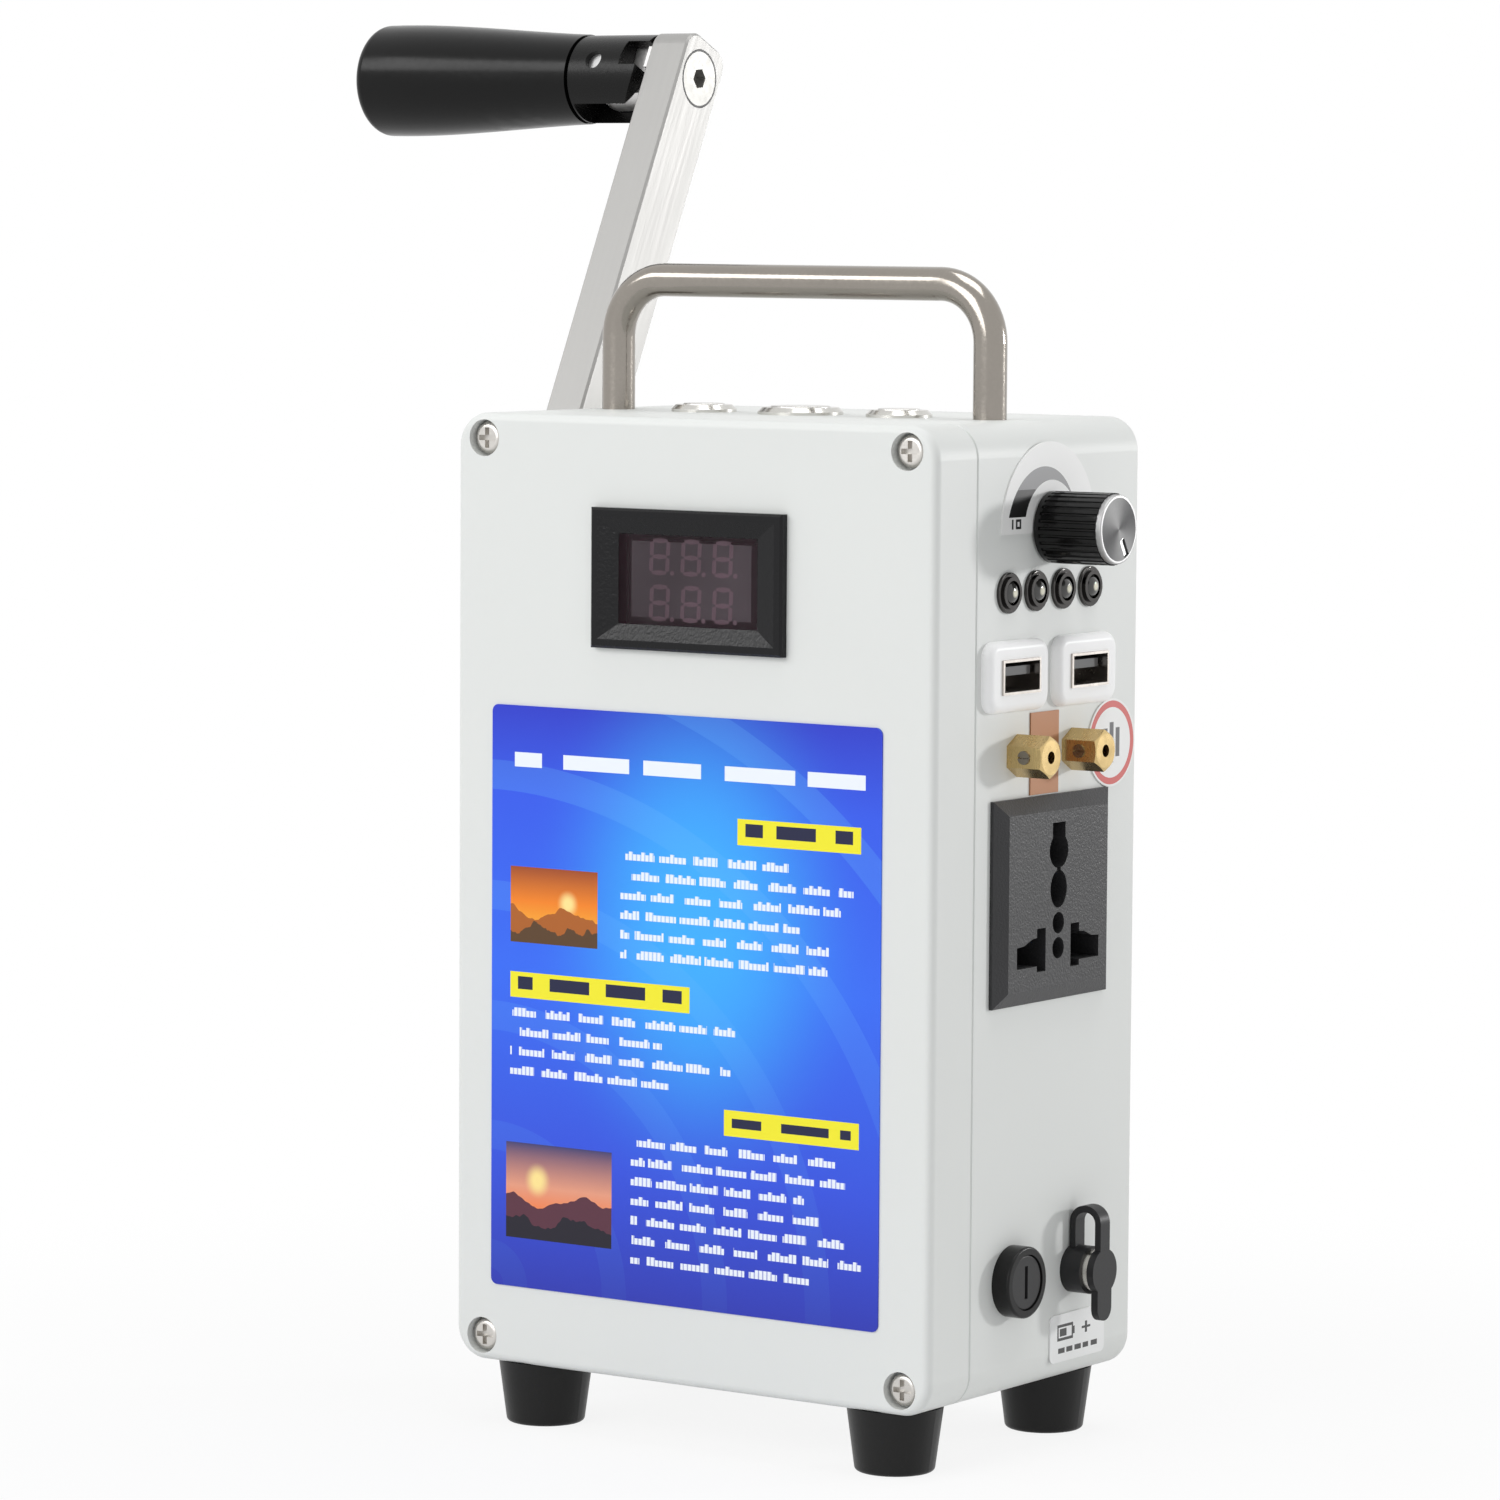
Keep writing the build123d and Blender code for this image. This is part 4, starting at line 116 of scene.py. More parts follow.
world = bpy.data.worlds.new("studio")
bpy.context.scene.world = world
world.use_nodes = True
sky = world.node_tree
sky.nodes.clear()
sky_out = sky.nodes.new("ShaderNodeOutputWorld")
sky_seen = sky.nodes.new("ShaderNodeBackground")
sky_seen.inputs["Color"].default_value = (1, 1, 1, 1)
sky_seen.inputs["Strength"].default_value = 1.0
sky_lit = sky.nodes.new("ShaderNodeBackground")
sky_lit.inputs["Color"].default_value = (0.98, 0.99, 1.0, 1)
sky_lit.inputs["Strength"].default_value = 0.42
sky_mix = sky.nodes.new("ShaderNodeMixShader")
sky.links.new(seen_or_mirrored(sky), sky_mix.inputs["Fac"])
sky.links.new(sky_lit.outputs[0], sky_mix.inputs[1])
sky.links.new(sky_seen.outputs[0], sky_mix.inputs[2])
sky.links.new(sky_mix.outputs[0], sky_out.inputs["Surface"])

bpy.ops.object.select_all(action="DESELECT")
bpy.ops.mesh.primitive_plane_add(size=14, location=(0, 0, 0))
paper = bpy.context.active_object
paper.name = "paper_floor"
paper_material = bpy.data.materials.new("paper_floor")
paper_material.use_nodes = True
paper_tree = paper_material.node_tree
paper_tree.nodes.clear()
paper_out = paper_tree.nodes.new("ShaderNodeOutputMaterial")
paper_diffuse = paper_tree.nodes.new("ShaderNodeBsdfDiffuse")
paper_diffuse.inputs["Color"].default_value = (0.80, 0.80, 0.80, 1)
paper_glow = paper_tree.nodes.new("ShaderNodeEmission")
paper_glow.inputs["Color"].default_value = (1, 1, 1, 1)
paper_mix = paper_tree.nodes.new("ShaderNodeMixShader")
paper_place = paper_tree.nodes.new("ShaderNodeTexCoord")
paper_reach = paper_tree.nodes.new("ShaderNodeVectorMath")
paper_reach.operation = "LENGTH"
paper_tree.links.new(paper_place.outputs["Object"], paper_reach.inputs[0])
paper_fade = map_range(paper_tree, paper_reach.outputs["Value"], (0.10, 0.34, 0.88, 1.0), "SMOOTHSTEP")
paper_share = paper_tree.nodes.new("ShaderNodeMath")
paper_share.operation = "MULTIPLY"
paper_tree.links.new(paper_fade, paper_share.inputs[1])
paper_tree.links.new(seen_or_mirrored(paper_tree), paper_share.inputs[0])
paper_tree.links.new(paper_share.outputs[0], paper_mix.inputs["Fac"])
paper_tree.links.new(paper_diffuse.outputs[0], paper_mix.inputs[1])
paper_tree.links.new(paper_glow.outputs[0], paper_mix.inputs[2])
paper_tree.links.new(paper_mix.outputs[0], paper_out.inputs["Surface"])
paper.data.materials.append(paper_material)

# ---------------------------------------------------------------- enclosure
# The cover and the housing are moulded in light grey ABS with a very fine matt grain. Four screws pull the
# cover onto a rubber seal.


def node_group(name, inputs, outputs):
    """A shader node group with named sockets: the numbers are the inputs' defaults."""
    tree = bpy.data.node_groups.new(name, "ShaderNodeTree")
    for label, value in inputs.items():
        kind = "NodeSocketFloat"
        if isinstance(value, tuple):
            kind = "NodeSocketColor" if len(value) == 4 else "NodeSocketVector"
        socket = tree.interface.new_socket(label, in_out="INPUT", socket_type=kind)
        socket.default_value = value
    for label, kind in outputs.items():
        tree.interface.new_socket(label, in_out="OUTPUT", socket_type=kind)
    return tree, tree.nodes.new("NodeGroupInput"), tree.nodes.new("NodeGroupOutput")


def math_node(tree, operation, first, second=None):
    """A Math node: each operand is a socket or a number."""
    made = tree.nodes.new("ShaderNodeMath")
    made.operation = operation
    for i, value in enumerate((first, second)):
        if isinstance(value, (int, float)):
            made.inputs[i].default_value = value
        elif value is not None:
            tree.links.new(value, made.inputs[i])
    return made.outputs[0]


def product(tree, first, *others):
    """Multiplies sockets or numbers one after another."""
    for value in others:
        first = math_node(tree, "MULTIPLY", first, value)
    return first


def between(tree, value, low, high):
    """1 where a value lies above one bound and below the other."""
    return product(tree, math_node(tree, "GREATER_THAN", value, low), math_node(tree, "LESS_THAN", value, high))


def length_of(tree, first, second):
    """The length of two offsets at right angles."""
    squares = math_node(tree, "ADD", product(tree, first, first), product(tree, second, second))
    return math_node(tree, "SQRT", squares)


def mix_colour(tree, share, first, second):
    """Blends two colours, each a socket or four numbers."""
    made = tree.nodes.new("ShaderNodeMix")
    made.data_type = "RGBA"
    for socket, value in ((made.inputs[0], share), (made.inputs[6], first), (made.inputs[7], second)):
        if isinstance(value, (int, float, tuple)):
            socket.default_value = value
        else:
            tree.links.new(value, socket)
    return made.outputs[2]


def noise(tree, vector, scale, detail):
    """A noise texture, from 0 to 1. The scale is a socket or a number."""
    made = tree.nodes.new("ShaderNodeTexNoise")
    made.inputs["Detail"].default_value = detail
    tree.links.new(vector, made.inputs["Vector"])
    if isinstance(scale, float):
        made.inputs["Scale"].default_value = scale
    else:
        tree.links.new(scale, made.inputs["Scale"])
    return made.outputs["Fac"]


def scaled(tree, colour, gain):
    """A colour made lighter or darker."""
    made = tree.nodes.new("ShaderNodeVectorMath")
    made.operation = "SCALE"
    tree.links.new(colour, made.inputs[0])
    tree.links.new(gain, made.inputs["Scale"])
    return made.outputs[0]


def build_grain_group():
    """Fine moulded grain with faint cloudy changes of tone, for plastics and rubber."""
    inputs = {"Vector": (0.0, 0.0, 0.0), "Colour": (0.5, 0.5, 0.5, 1.0), "Grain size": 2500.0, "Cloud": 0.03}
    inputs["Roughness"] = 0.5
    outputs = {"Colour": "NodeSocketColor", "Roughness": "NodeSocketFloat", "Height": "NodeSocketFloat"}
    tree, enter, leave = node_group("moulded_grain", inputs, outputs)
    fine = noise(tree, enter.outputs["Vector"], enter.outputs["Grain size"], 2.0)
    cloud = noise(tree, enter.outputs["Vector"], 28.0, 3.0)
    shade = product(tree, math_node(tree, "SUBTRACT", cloud, 0.5), enter.outputs["Cloud"])
    gain = math_node(tree, "ADD", product(tree, shade, 2.0), 1.0)
    tree.links.new(scaled(tree, enter.outputs["Colour"], gain), leave.inputs["Colour"])
    rough = product(tree, math_node(tree, "SUBTRACT", fine, 0.5), 0.12)
    tree.links.new(math_node(tree, "ADD", rough, enter.outputs["Roughness"]), leave.inputs["Roughness"])
    tree.links.new(fine, leave.inputs["Height"])
    return tree


grain_group = build_grain_group()


def place_group(tree, group, **values):
    """Puts a node group in a material, fed with Object coordinates."""
    made = tree.nodes.new("ShaderNodeGroup")
    made.node_tree = group
    where = tree.nodes.new("ShaderNodeTexCoord")
    tree.links.new(where.outputs["Object"], made.inputs["Vector"])
    for key, value in values.items():
        made.inputs[key.replace("_", " ")].default_value = value
    return made


relief_depth = 0.0002


def wire(tree, effect, bump):
    """Joins an effect's colour, roughness and relief to the shader, which it returns."""
    shader = tree.nodes["Principled BSDF"]
    tree.links.new(effect.outputs["Colour"], shader.inputs["Base Color"])
    tree.links.new(effect.outputs["Roughness"], shader.inputs["Roughness"])
    relief = tree.nodes.new("ShaderNodeBump")
    relief.inputs["Strength"].default_value = bump
    relief.inputs["Distance"].default_value = relief_depth
    tree.links.new(effect.outputs["Height"], relief.inputs["Height"])
    tree.links.new(relief.outputs[0], shader.inputs["Normal"])
    return shader


def moulded(name, colour, roughness, grain=2500.0, cloud=0.02, bump=0.06, specular=0.2):
    """A moulded plastic or rubber finish."""
    made = bpy.data.materials.new(name)
    made.use_nodes = True
    tree = made.node_tree
    effect = place_group(tree, grain_group, Colour=(*colour, 1.0), Grain_size=grain, Cloud=cloud, Roughness=roughness)
    wire(tree, effect, bump).inputs["Specular IOR Level"].default_value = specular
    return made


def dress(name, material):
    """Gives a CAD node its finish."""
    for holder in nodes[name].material_slots:
        holder.material = material


shell_grey = moulded("shell_abs_grey", (0.745, 0.76, 0.742), 0.46, grain=3200.0, cloud=0.012, bump=0.05, specular=0.5)
for name in ("front_cover", "rear_housing"):
    dress(name, shell_grey)
seal_black = moulded("seal_rubber", (0.02, 0.02, 0.02), 0.7)
dress("cover_gasket", seal_black)


def build_metal_group():
    """Worked metal: fine lines drawn out along one axis, with broad tarnish."""
    inputs = {"Vector": (0.0, 0.0, 0.0), "Colour": (0.6, 0.6, 0.6, 1.0), "Stretch": (1.0, 1.0, 1.0)}
    inputs.update({"Turn": 0.0, "Line size": 900.0, "Tarnish": 0.1, "Roughness": 0.3})
    outputs = {"Colour": "NodeSocketColor", "Roughness": "NodeSocketFloat", "Height": "NodeSocketFloat"}
    tree, enter, leave = node_group("worked_metal", inputs, outputs)
    turned = tree.nodes.new("ShaderNodeVectorRotate")
    turned.rotation_type = "X_AXIS"
    tree.links.new(enter.outputs["Vector"], turned.inputs["Vector"])
    tree.links.new(enter.outputs["Turn"], turned.inputs["Angle"])
    drawn = tree.nodes.new("ShaderNodeVectorMath")
    drawn.operation = "MULTIPLY"
    tree.links.new(turned.outputs[0], drawn.inputs[0])
    tree.links.new(enter.outputs["Stretch"], drawn.inputs[1])
    lines = noise(tree, drawn.outputs[0], enter.outputs["Line size"], 3.0)
    broad = noise(tree, enter.outputs["Vector"], 60.0, 4.0)
    dull = product(tree, math_node(tree, "SUBTRACT", broad, 0.5), enter.outputs["Tarnish"])
    gain = math_node(tree, "ADD", product(tree, dull, 1.6), 1.0)
    streak = product(tree, math_node(tree, "SUBTRACT", lines, 0.5), 0.10)
    gain = math_node(tree, "ADD", gain, streak)
    tree.links.new(scaled(tree, enter.outputs["Colour"], gain), leave.inputs["Colour"])
    rough = math_node(tree, "ADD", product(tree, streak, 1.5), enter.outputs["Roughness"])
    tree.links.new(math_node(tree, "ADD", rough, dull), leave.inputs["Roughness"])
    tree.links.new(lines, leave.inputs["Height"])
    return tree


metal_group = build_metal_group()


def metal(name, colour, roughness, stretch=(1.0, 1.0, 1.0), turn=0.0, line=900.0, tarnish=0.08, bump=0.04,
          metallic=1.0):
    """A worked metal finish."""
    made = bpy.data.materials.new(name)
    made.use_nodes = True
    tree = made.node_tree
    effect = place_group(tree, metal_group, Colour=(*colour, 1.0), Stretch=stretch, Turn=turn, Line_size=line,
                         Tarnish=tarnish, Roughness=roughness)
    wire(tree, effect, bump).inputs["Metallic"].default_value = metallic
    return made


screw_zinc = metal("screw_zinc", (0.6, 0.58, 0.55), 0.32, line=1500.0, tarnish=0.2)
dress("cover_screws", screw_zinc)
dress("handle_screws", screw_zinc)
dress("case_screws", screw_zinc)
dress("board_screws", screw_zinc)

# ---------------------------------------------------------------- front label
# A large sheet of printed film stuck to the cover: blue with a lighter middle, pale rows of small marks under
# yellow heading bars with dark dashes, and two small landscape pictures.
label_low, label_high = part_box("front_label")
label_wide, label_tall = label_high.x - label_low.x, label_high.z - label_low.z


def build_bar_group():
    """A printed rectangle: its mask, and how far across and up it a point lies, from 0 to 1."""
    inputs = {"Across": 0.0, "Up": 0.0, "Left": 0.0, "Right": 1.0, "Bottom": 0.0, "Top": 1.0}
    outputs = {"Mask": "NodeSocketFloat", "U": "NodeSocketFloat", "V": "NodeSocketFloat"}
    tree, enter, leave = node_group("printed_bar", inputs, outputs)
    port = enter.outputs
    across = math_node(tree, "SUBTRACT", port["Across"], port["Left"])
    across = math_node(tree, "DIVIDE", across, math_node(tree, "SUBTRACT", port["Right"], port["Left"]))
    up = math_node(tree, "SUBTRACT", port["Up"], port["Bottom"])
    up = math_node(tree, "DIVIDE", up, math_node(tree, "SUBTRACT", port["Top"], port["Bottom"]))
    mask = None
    for value in (across, up):
        centred = math_node(tree, "ABSOLUTE", math_node(tree, "SUBTRACT", value, 0.5))
        within = math_node(tree, "LESS_THAN", centred, 0.5)
        mask = within if mask is None else product(tree, mask, within)
    for label, value in (("Mask", mask), ("U", across), ("V", up)):
        tree.links.new(value, leave.inputs[label])
    return tree


bar_group = build_bar_group()


def build_lines_group(bar):
    """Rows of uneven dashes inside a rectangle. A mark narrower than a dash breaks it into upright strokes."""
    inputs = {"Across": 0.0, "Up": 0.0, "Left": 0.0, "Right": 1.0, "Bottom": 0.0, "Top": 1.0}
    inputs.update({"Row": 0.004, "Fill": 0.4, "Word": 0.007, "Mark": 0.0012, "Seed": 0.0, "Shortest": 0.5})
    tree, enter, leave = node_group("printed_lines", inputs, {"Mask": "NodeSocketFloat"})
    port = enter.outputs
    area = tree.nodes.new("ShaderNodeGroup")
    area.node_tree = bar
    for label in ("Across", "Up", "Left", "Right", "Bottom", "Top"):
        tree.links.new(port[label], area.inputs[label])

    def chance(first, second):
        """A random number from 0 to 1 for each pair of whole numbers."""
        cell = tree.nodes.new("ShaderNodeCombineXYZ")
        tree.links.new(first, cell.inputs[0])
        tree.links.new(second, cell.inputs[1])
        tree.links.new(port["Seed"], cell.inputs[2])
        noise = tree.nodes.new("ShaderNodeTexWhiteNoise")
        noise.noise_dimensions = "3D"
        tree.links.new(cell.outputs[0], noise.inputs["Vector"])
        return noise.outputs["Value"]

    across = math_node(tree, "SUBTRACT", port["Across"], port["Left"])
    down = math_node(tree, "DIVIDE", math_node(tree, "SUBTRACT", port["Top"], port["Up"]), port["Row"])
    row, depth = math_node(tree, "FLOOR", down), math_node(tree, "FRACT", down)
    row_chance = chance(row, port["Seed"])
    span = math_node(tree, "SUBTRACT", 1.0, port["Shortest"])
    length = math_node(tree, "ADD", product(tree, row_chance, span), port["Shortest"])
    shown = product(tree, area.outputs["Mask"], math_node(tree, "LESS_THAN", area.outputs["U"], length))
    words = math_node(tree, "DIVIDE", across, port["Word"])
    words = math_node(tree, "ADD", words, product(tree, row_chance, 5.0))
    word, along = math_node(tree, "FLOOR", words), math_node(tree, "FRACT", words)
    reach = math_node(tree, "ADD", product(tree, chance(word, row), 0.25), 0.66)
    shown = product(tree, shown, math_node(tree, "LESS_THAN", along, reach))
    marks = math_node(tree, "DIVIDE", across, port["Mark"])
    mark, beside = math_node(tree, "FLOOR", marks), math_node(tree, "FRACT", marks)
    tall = math_node(tree, "GREATER_THAN", chance(mark, row), 0.62)
    start = product(tree, math_node(tree, "SUBTRACT", 1.0, tall), 0.28)
    start = product(tree, start, port["Fill"])
    mark_tall = math_node(tree, "SUBTRACT", port["Fill"], start)
    drop = math_node(tree, "DIVIDE", math_node(tree, "SUBTRACT", depth, start), mark_tall)
    shown = product(tree, shown, between(tree, drop, 0.0, 1.0))
    ink = math_node(tree, "ADD", product(tree, math_node(tree, "LESS_THAN", beside, 0.7), 0.6), 0.4)
    tree.links.new(product(tree, shown, ink), leave.inputs["Mask"])
    return tree


lines_group = build_lines_group(bar_group)


def across_and_up(tree, flat):
    """The sockets that run across and up a printed face, which looks along Y or along X."""
    where = tree.nodes.new("ShaderNodeTexCoord")
    apart = tree.nodes.new("ShaderNodeSeparateXYZ")
    tree.links.new(where.outputs["Object"], apart.inputs[0])
    return apart.outputs[flat], apart.outputs["Z"]


def printed(tree, places, group, span, **values):
    """Places a printed bar or block of lines in a material. The span is left, right, bottom and top in metres."""
    made = tree.nodes.new("ShaderNodeGroup")
    made.node_tree = group
    tree.links.new(places[0], made.inputs["Across"])
    tree.links.new(places[1], made.inputs["Up"])
    for label, value in zip(("Left", "Right", "Bottom", "Top"), span):
        made.inputs[label].default_value = value
    for label, value in values.items():
        made.inputs[label].default_value = value
    return made


def label_span(left, right, bottom, top):
    """Fractions of the label's width and height, in metres."""
    return (label_low.x + left * label_wide, label_low.x + right * label_wide,
            label_low.z + bottom * label_tall, label_low.z + top * label_tall)


def bare_finish(name, node):
    """Makes a finish for one CAD node, gives it to the node, and returns its shader tree."""
    made = bpy.data.materials.new(name)
    made.use_nodes = True
    dress(node, made)
    return made.node_tree


def lay_paint(tree, paint, roughness=0.4):
    """Joins a painted colour to the shader, which it returns."""
    shader = tree.nodes["Principled BSDF"]
    tree.links.new(paint, shader.inputs["Base Color"])
    shader.inputs["Roughness"].default_value = roughness
    return shader


tree = bare_finish("label_print_film", "front_label")
places = across_and_up(tree, "X")
sheet = printed(tree, places, bar_group, label_span(0, 1, 0, 1))
ramp = tree.nodes.new("ShaderNodeValToRGB")
ramp.color_ramp.elements[0].color = (0.026, 0.040, 0.44, 1)
ramp.color_ramp.elements[1].color = (0.026, 0.046, 0.58, 1)
sheet_blues = ((0.22, (0.034, 0.085, 0.72, 1)), (0.55, (0.036, 0.150, 0.90, 1)), (0.85, (0.034, 0.105, 0.82, 1)))
for position, colour in sheet_blues:
    stop = ramp.color_ramp.elements.new(position)
    stop.color = colour
tree.links.new(sheet.outputs["V"], ramp.inputs[0])
# a pale glow, a little right of the middle and two thirds of the way up
from_middle = product(tree, math_node(tree, "SUBTRACT", sheet.outputs["U"], 0.54), 1.5)
from_height = product(tree, math_node(tree, "SUBTRACT", sheet.outputs["V"], 0.66), 1.35)
away = length_of(tree, from_middle, from_height)
glow = map_range(tree, away, (0.0, 0.72, 0.95, 0.0), "SMOOTHERSTEP")
paint = mix_colour(tree, glow, ramp.outputs[0], (0.045, 0.44, 1.0, 1))
# pale arcs round the lower left corner of the sheet
swing = math_node(tree, "ADD", product(tree, sheet.outputs["U"], sheet.outputs["U"]),
                  product(tree, sheet.outputs["V"], product(tree, sheet.outputs["V"], 1.6)))
arcs = math_node(tree, "SINE", product(tree, math_node(tree, "SQRT", swing), 24.0))
arcs = product(tree, math_node(tree, "GREATER_THAN", arcs, 0.72), 0.16)
off_height = math_node(tree, "ABSOLUTE", math_node(tree, "SUBTRACT", sheet.outputs["V"], 0.85))
fade = math_node(tree, "SUBTRACT", 1.0, off_height)
paint = mix_colour(tree, product(tree, arcs, fade), paint, (0.16, 0.52, 1.0, 1))
pale_ink, bar_yellow, bar_ink = (0.86, 0.91, 0.98, 1), (0.90, 0.83, 0.03, 1), (0.012, 0.014, 0.05, 1)
heading_tall = 0.044
title = printed(tree, places, lines_group, label_span(0.06, 0.96, 0.875, 0.930), Row=0.0068, Fill=0.62, Word=0.0205,
                Mark=1.0, Seed=4.0, Shortest=1.0)
paint = mix_colour(tree, title.outputs[0], paint, pale_ink)
heading_bars = ((0.64, 0.95, 0.790, 2.0), (0.05, 0.52, 0.500, 5.0), (0.61, 0.95, 0.300, 8.0))
for left, right, bottom, seed in heading_bars:
    bar = printed(tree, places, bar_group, label_span(left, right, bottom, bottom + heading_tall))
    paint = mix_colour(tree, bar.outputs["Mask"], paint, bar_yellow)
    dashes = printed(tree, places, lines_group, label_span(left + 0.02, right - 0.02, bottom + 0.009, bottom + 0.0365),
                     Row=0.0036, Fill=0.75, Word=0.0145, Mark=1.0, Seed=seed, Shortest=1.0)
    paint = mix_colour(tree, dashes.outputs[0], paint, bar_ink)
row_blocks = ((0.34, 0.95, 0.575, 0.765, 11.0), (0.05, 0.70, 0.355, 0.482, 24.0), (0.37, 0.96, 0.064, 0.28, 35.0))
for *edges, seed in row_blocks:
    block = printed(tree, places, lines_group, label_span(*edges), Row=0.0041, Fill=0.44, Word=0.0086,
                    Mark=0.00105, Seed=seed, Shortest=0.55)
    paint = mix_colour(tree, block.outputs[0], paint, pale_ink)


def landscape(tree, paint, span, sky, sun, hills, seed):
    """A small picture: a sky that shades from low to high, a low sun, and two lines of hills."""
    panel = printed(tree, places, bar_group, span)
    air = tree.nodes.new("ShaderNodeValToRGB")
    for element, (position, colour) in zip(air.color_ramp.elements, (sky[0], sky[-1])):
        element.position, element.color = position, colour
    for position, colour in sky[1:-1]:
        middle = air.color_ramp.elements.new(position)
        middle.color = colour
    tree.links.new(panel.outputs["V"], air.inputs[0])
    du = product(tree, math_node(tree, "SUBTRACT", panel.outputs["U"], sun[0]), 1.5)
    dv = math_node(tree, "SUBTRACT", panel.outputs["V"], sun[1])
    sunlit = map_range(tree, length_of(tree, du, dv), (0.04, 0.20, 1.0, 0.0), "SMOOTHSTEP")
    made = mix_colour(tree, sunlit, air.outputs[0], (1.0, 0.78, 0.30, 1))
    for level, rough, colour in hills:
        ridge = tree.nodes.new("ShaderNodeTexNoise")
        ridge.noise_dimensions = "1D"
        ridge.inputs["Scale"].default_value = rough
        ridge.inputs["Detail"].default_value = 3.0
        tree.links.new(math_node(tree, "ADD", panel.outputs["U"], seed + level * 7), ridge.inputs["W"])
        top = math_node(tree, "ADD", product(tree, ridge.outputs["Fac"], 0.36), level)
        made = mix_colour(tree, math_node(tree, "LESS_THAN", panel.outputs["V"], top), made, colour)
    return mix_colour(tree, panel.outputs["Mask"], paint, made)


upper_sky = ((0.2, (0.95, 0.42, 0.04, 1)), (0.55, (0.90, 0.24, 0.02, 1)), (1.0, (0.34, 0.07, 0.02, 1)))
upper_hills = ((0.22, 3.0, (0.42, 0.12, 0.02, 1)), (0.02, 4.5, (0.10, 0.05, 0.02, 1)))
paint = landscape(tree, paint, label_span(0.05, 0.28, 0.595, 0.725), upper_sky, (0.66, 0.55), upper_hills, 3.0)
lower_sky = ((0.25, (0.92, 0.20, 0.04, 1)), (0.55, (0.80, 0.34, 0.22, 1)), (1.0, (0.05, 0.05, 0.16, 1)))
lower_hills = ((0.24, 2.4, (0.10, 0.03, 0.05, 1)), (0.03, 3.5, (0.012, 0.010, 0.02, 1)))
paint = landscape(tree, paint, label_span(0.04, 0.32, 0.085, 0.25), lower_sky, (0.3, 0.62), lower_hills, 9.0)
lay_paint(tree, paint).inputs["Specular IOR Level"].default_value = 0.3

# ---------------------------------------------------------------- panel meter
# A black moulded frame whose inner edges slope down to a thin dark red pane. Behind the pane are two rows of
# three unlit digits of seven bars and a dot, in dull pink resin on a dark block. The frame's body clips into
# the cover.
frame_low, frame_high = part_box("meter_bezel")
window_low, window_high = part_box("meter_window")
display_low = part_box("meter_display")[0]
meter_z = (window_low.z + window_high.z) / 2
pane_gap, flange_wide, flange_thick = 0.00004, 0.0016, 0.002
wall, edge, rim, lip = 0.0014, 0.0005, 0.0019, 0.0002
slope_end = window_low.y - pane_gap
frame_w, frame_h = frame_high.x, (frame_high.z - frame_low.z) / 2
body_w, body_h = frame_w - flange_wide, frame_h - flange_wide
# half width, half height and depth of each ring of corners: over the rim, down the slope, through the body
# and back up its outside
frame_rings = ((frame_w - edge, frame_h - edge, frame_low.y),
               (frame_w - rim, frame_h - rim, frame_low.y),
               (window_high.x, window_high.z - meter_z, slope_end),
               (body_w - wall, body_h - wall, slope_end + lip),
               (body_w - wall, body_h - wall, frame_high.y),
               (body_w, body_h, frame_high.y),
               (body_w, body_h, frame_low.y + flange_thick),
               (frame_w, frame_h, frame_low.y + flange_thick),
               (frame_w, frame_h, frame_low.y + edge))
bpy.ops.object.select_all(action="DESELECT")
bpy.ops.mesh.primitive_torus_add(major_segments=4, minor_segments=len(frame_rings), location=(0, 0, 0))
meter_frame = bpy.context.active_object
meter_frame.name = "meter_frame"
for number, corner in enumerate(meter_frame.data.vertices):
    quarter, ring_number = divmod(number, len(frame_rings))
    half_w, half_h, depth = frame_rings[ring_number]
    corner.co = (half_w * (1, -1, -1, 1)[quarter], depth, meter_z + half_h * (1, 1, -1, -1)[quarter])
bpy.ops.object.mode_set(mode="EDIT")
bpy.ops.mesh.select_all(action="SELECT")
bpy.ops.mesh.normals_make_consistent(inside=False)
bpy.ops.mesh.faces_shade_flat()
bpy.ops.object.mode_set(mode="OBJECT")
meter_frame.data.materials.append(moulded("meter_frame_black", (0.007, 0.007, 0.008), 0.2, grain=1500.0,
                                          cloud=0.1, bump=0.35, specular=0.22))
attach(meter_frame, "case")
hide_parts("meter_bezel")

dress("meter_display", moulded("digit_block", (0.105, 0.090, 0.102), 0.6, grain=1500.0, cloud=0.9))
pane = moulded("meter_pane_red", (0.035, 0.012, 0.020), 0.08, grain=1200.0, cloud=0.3, bump=0.01, specular=0.5)
pane.node_tree.nodes["Principled BSDF"].inputs["Alpha"].default_value = 0.22
dress("meter_window", pane)

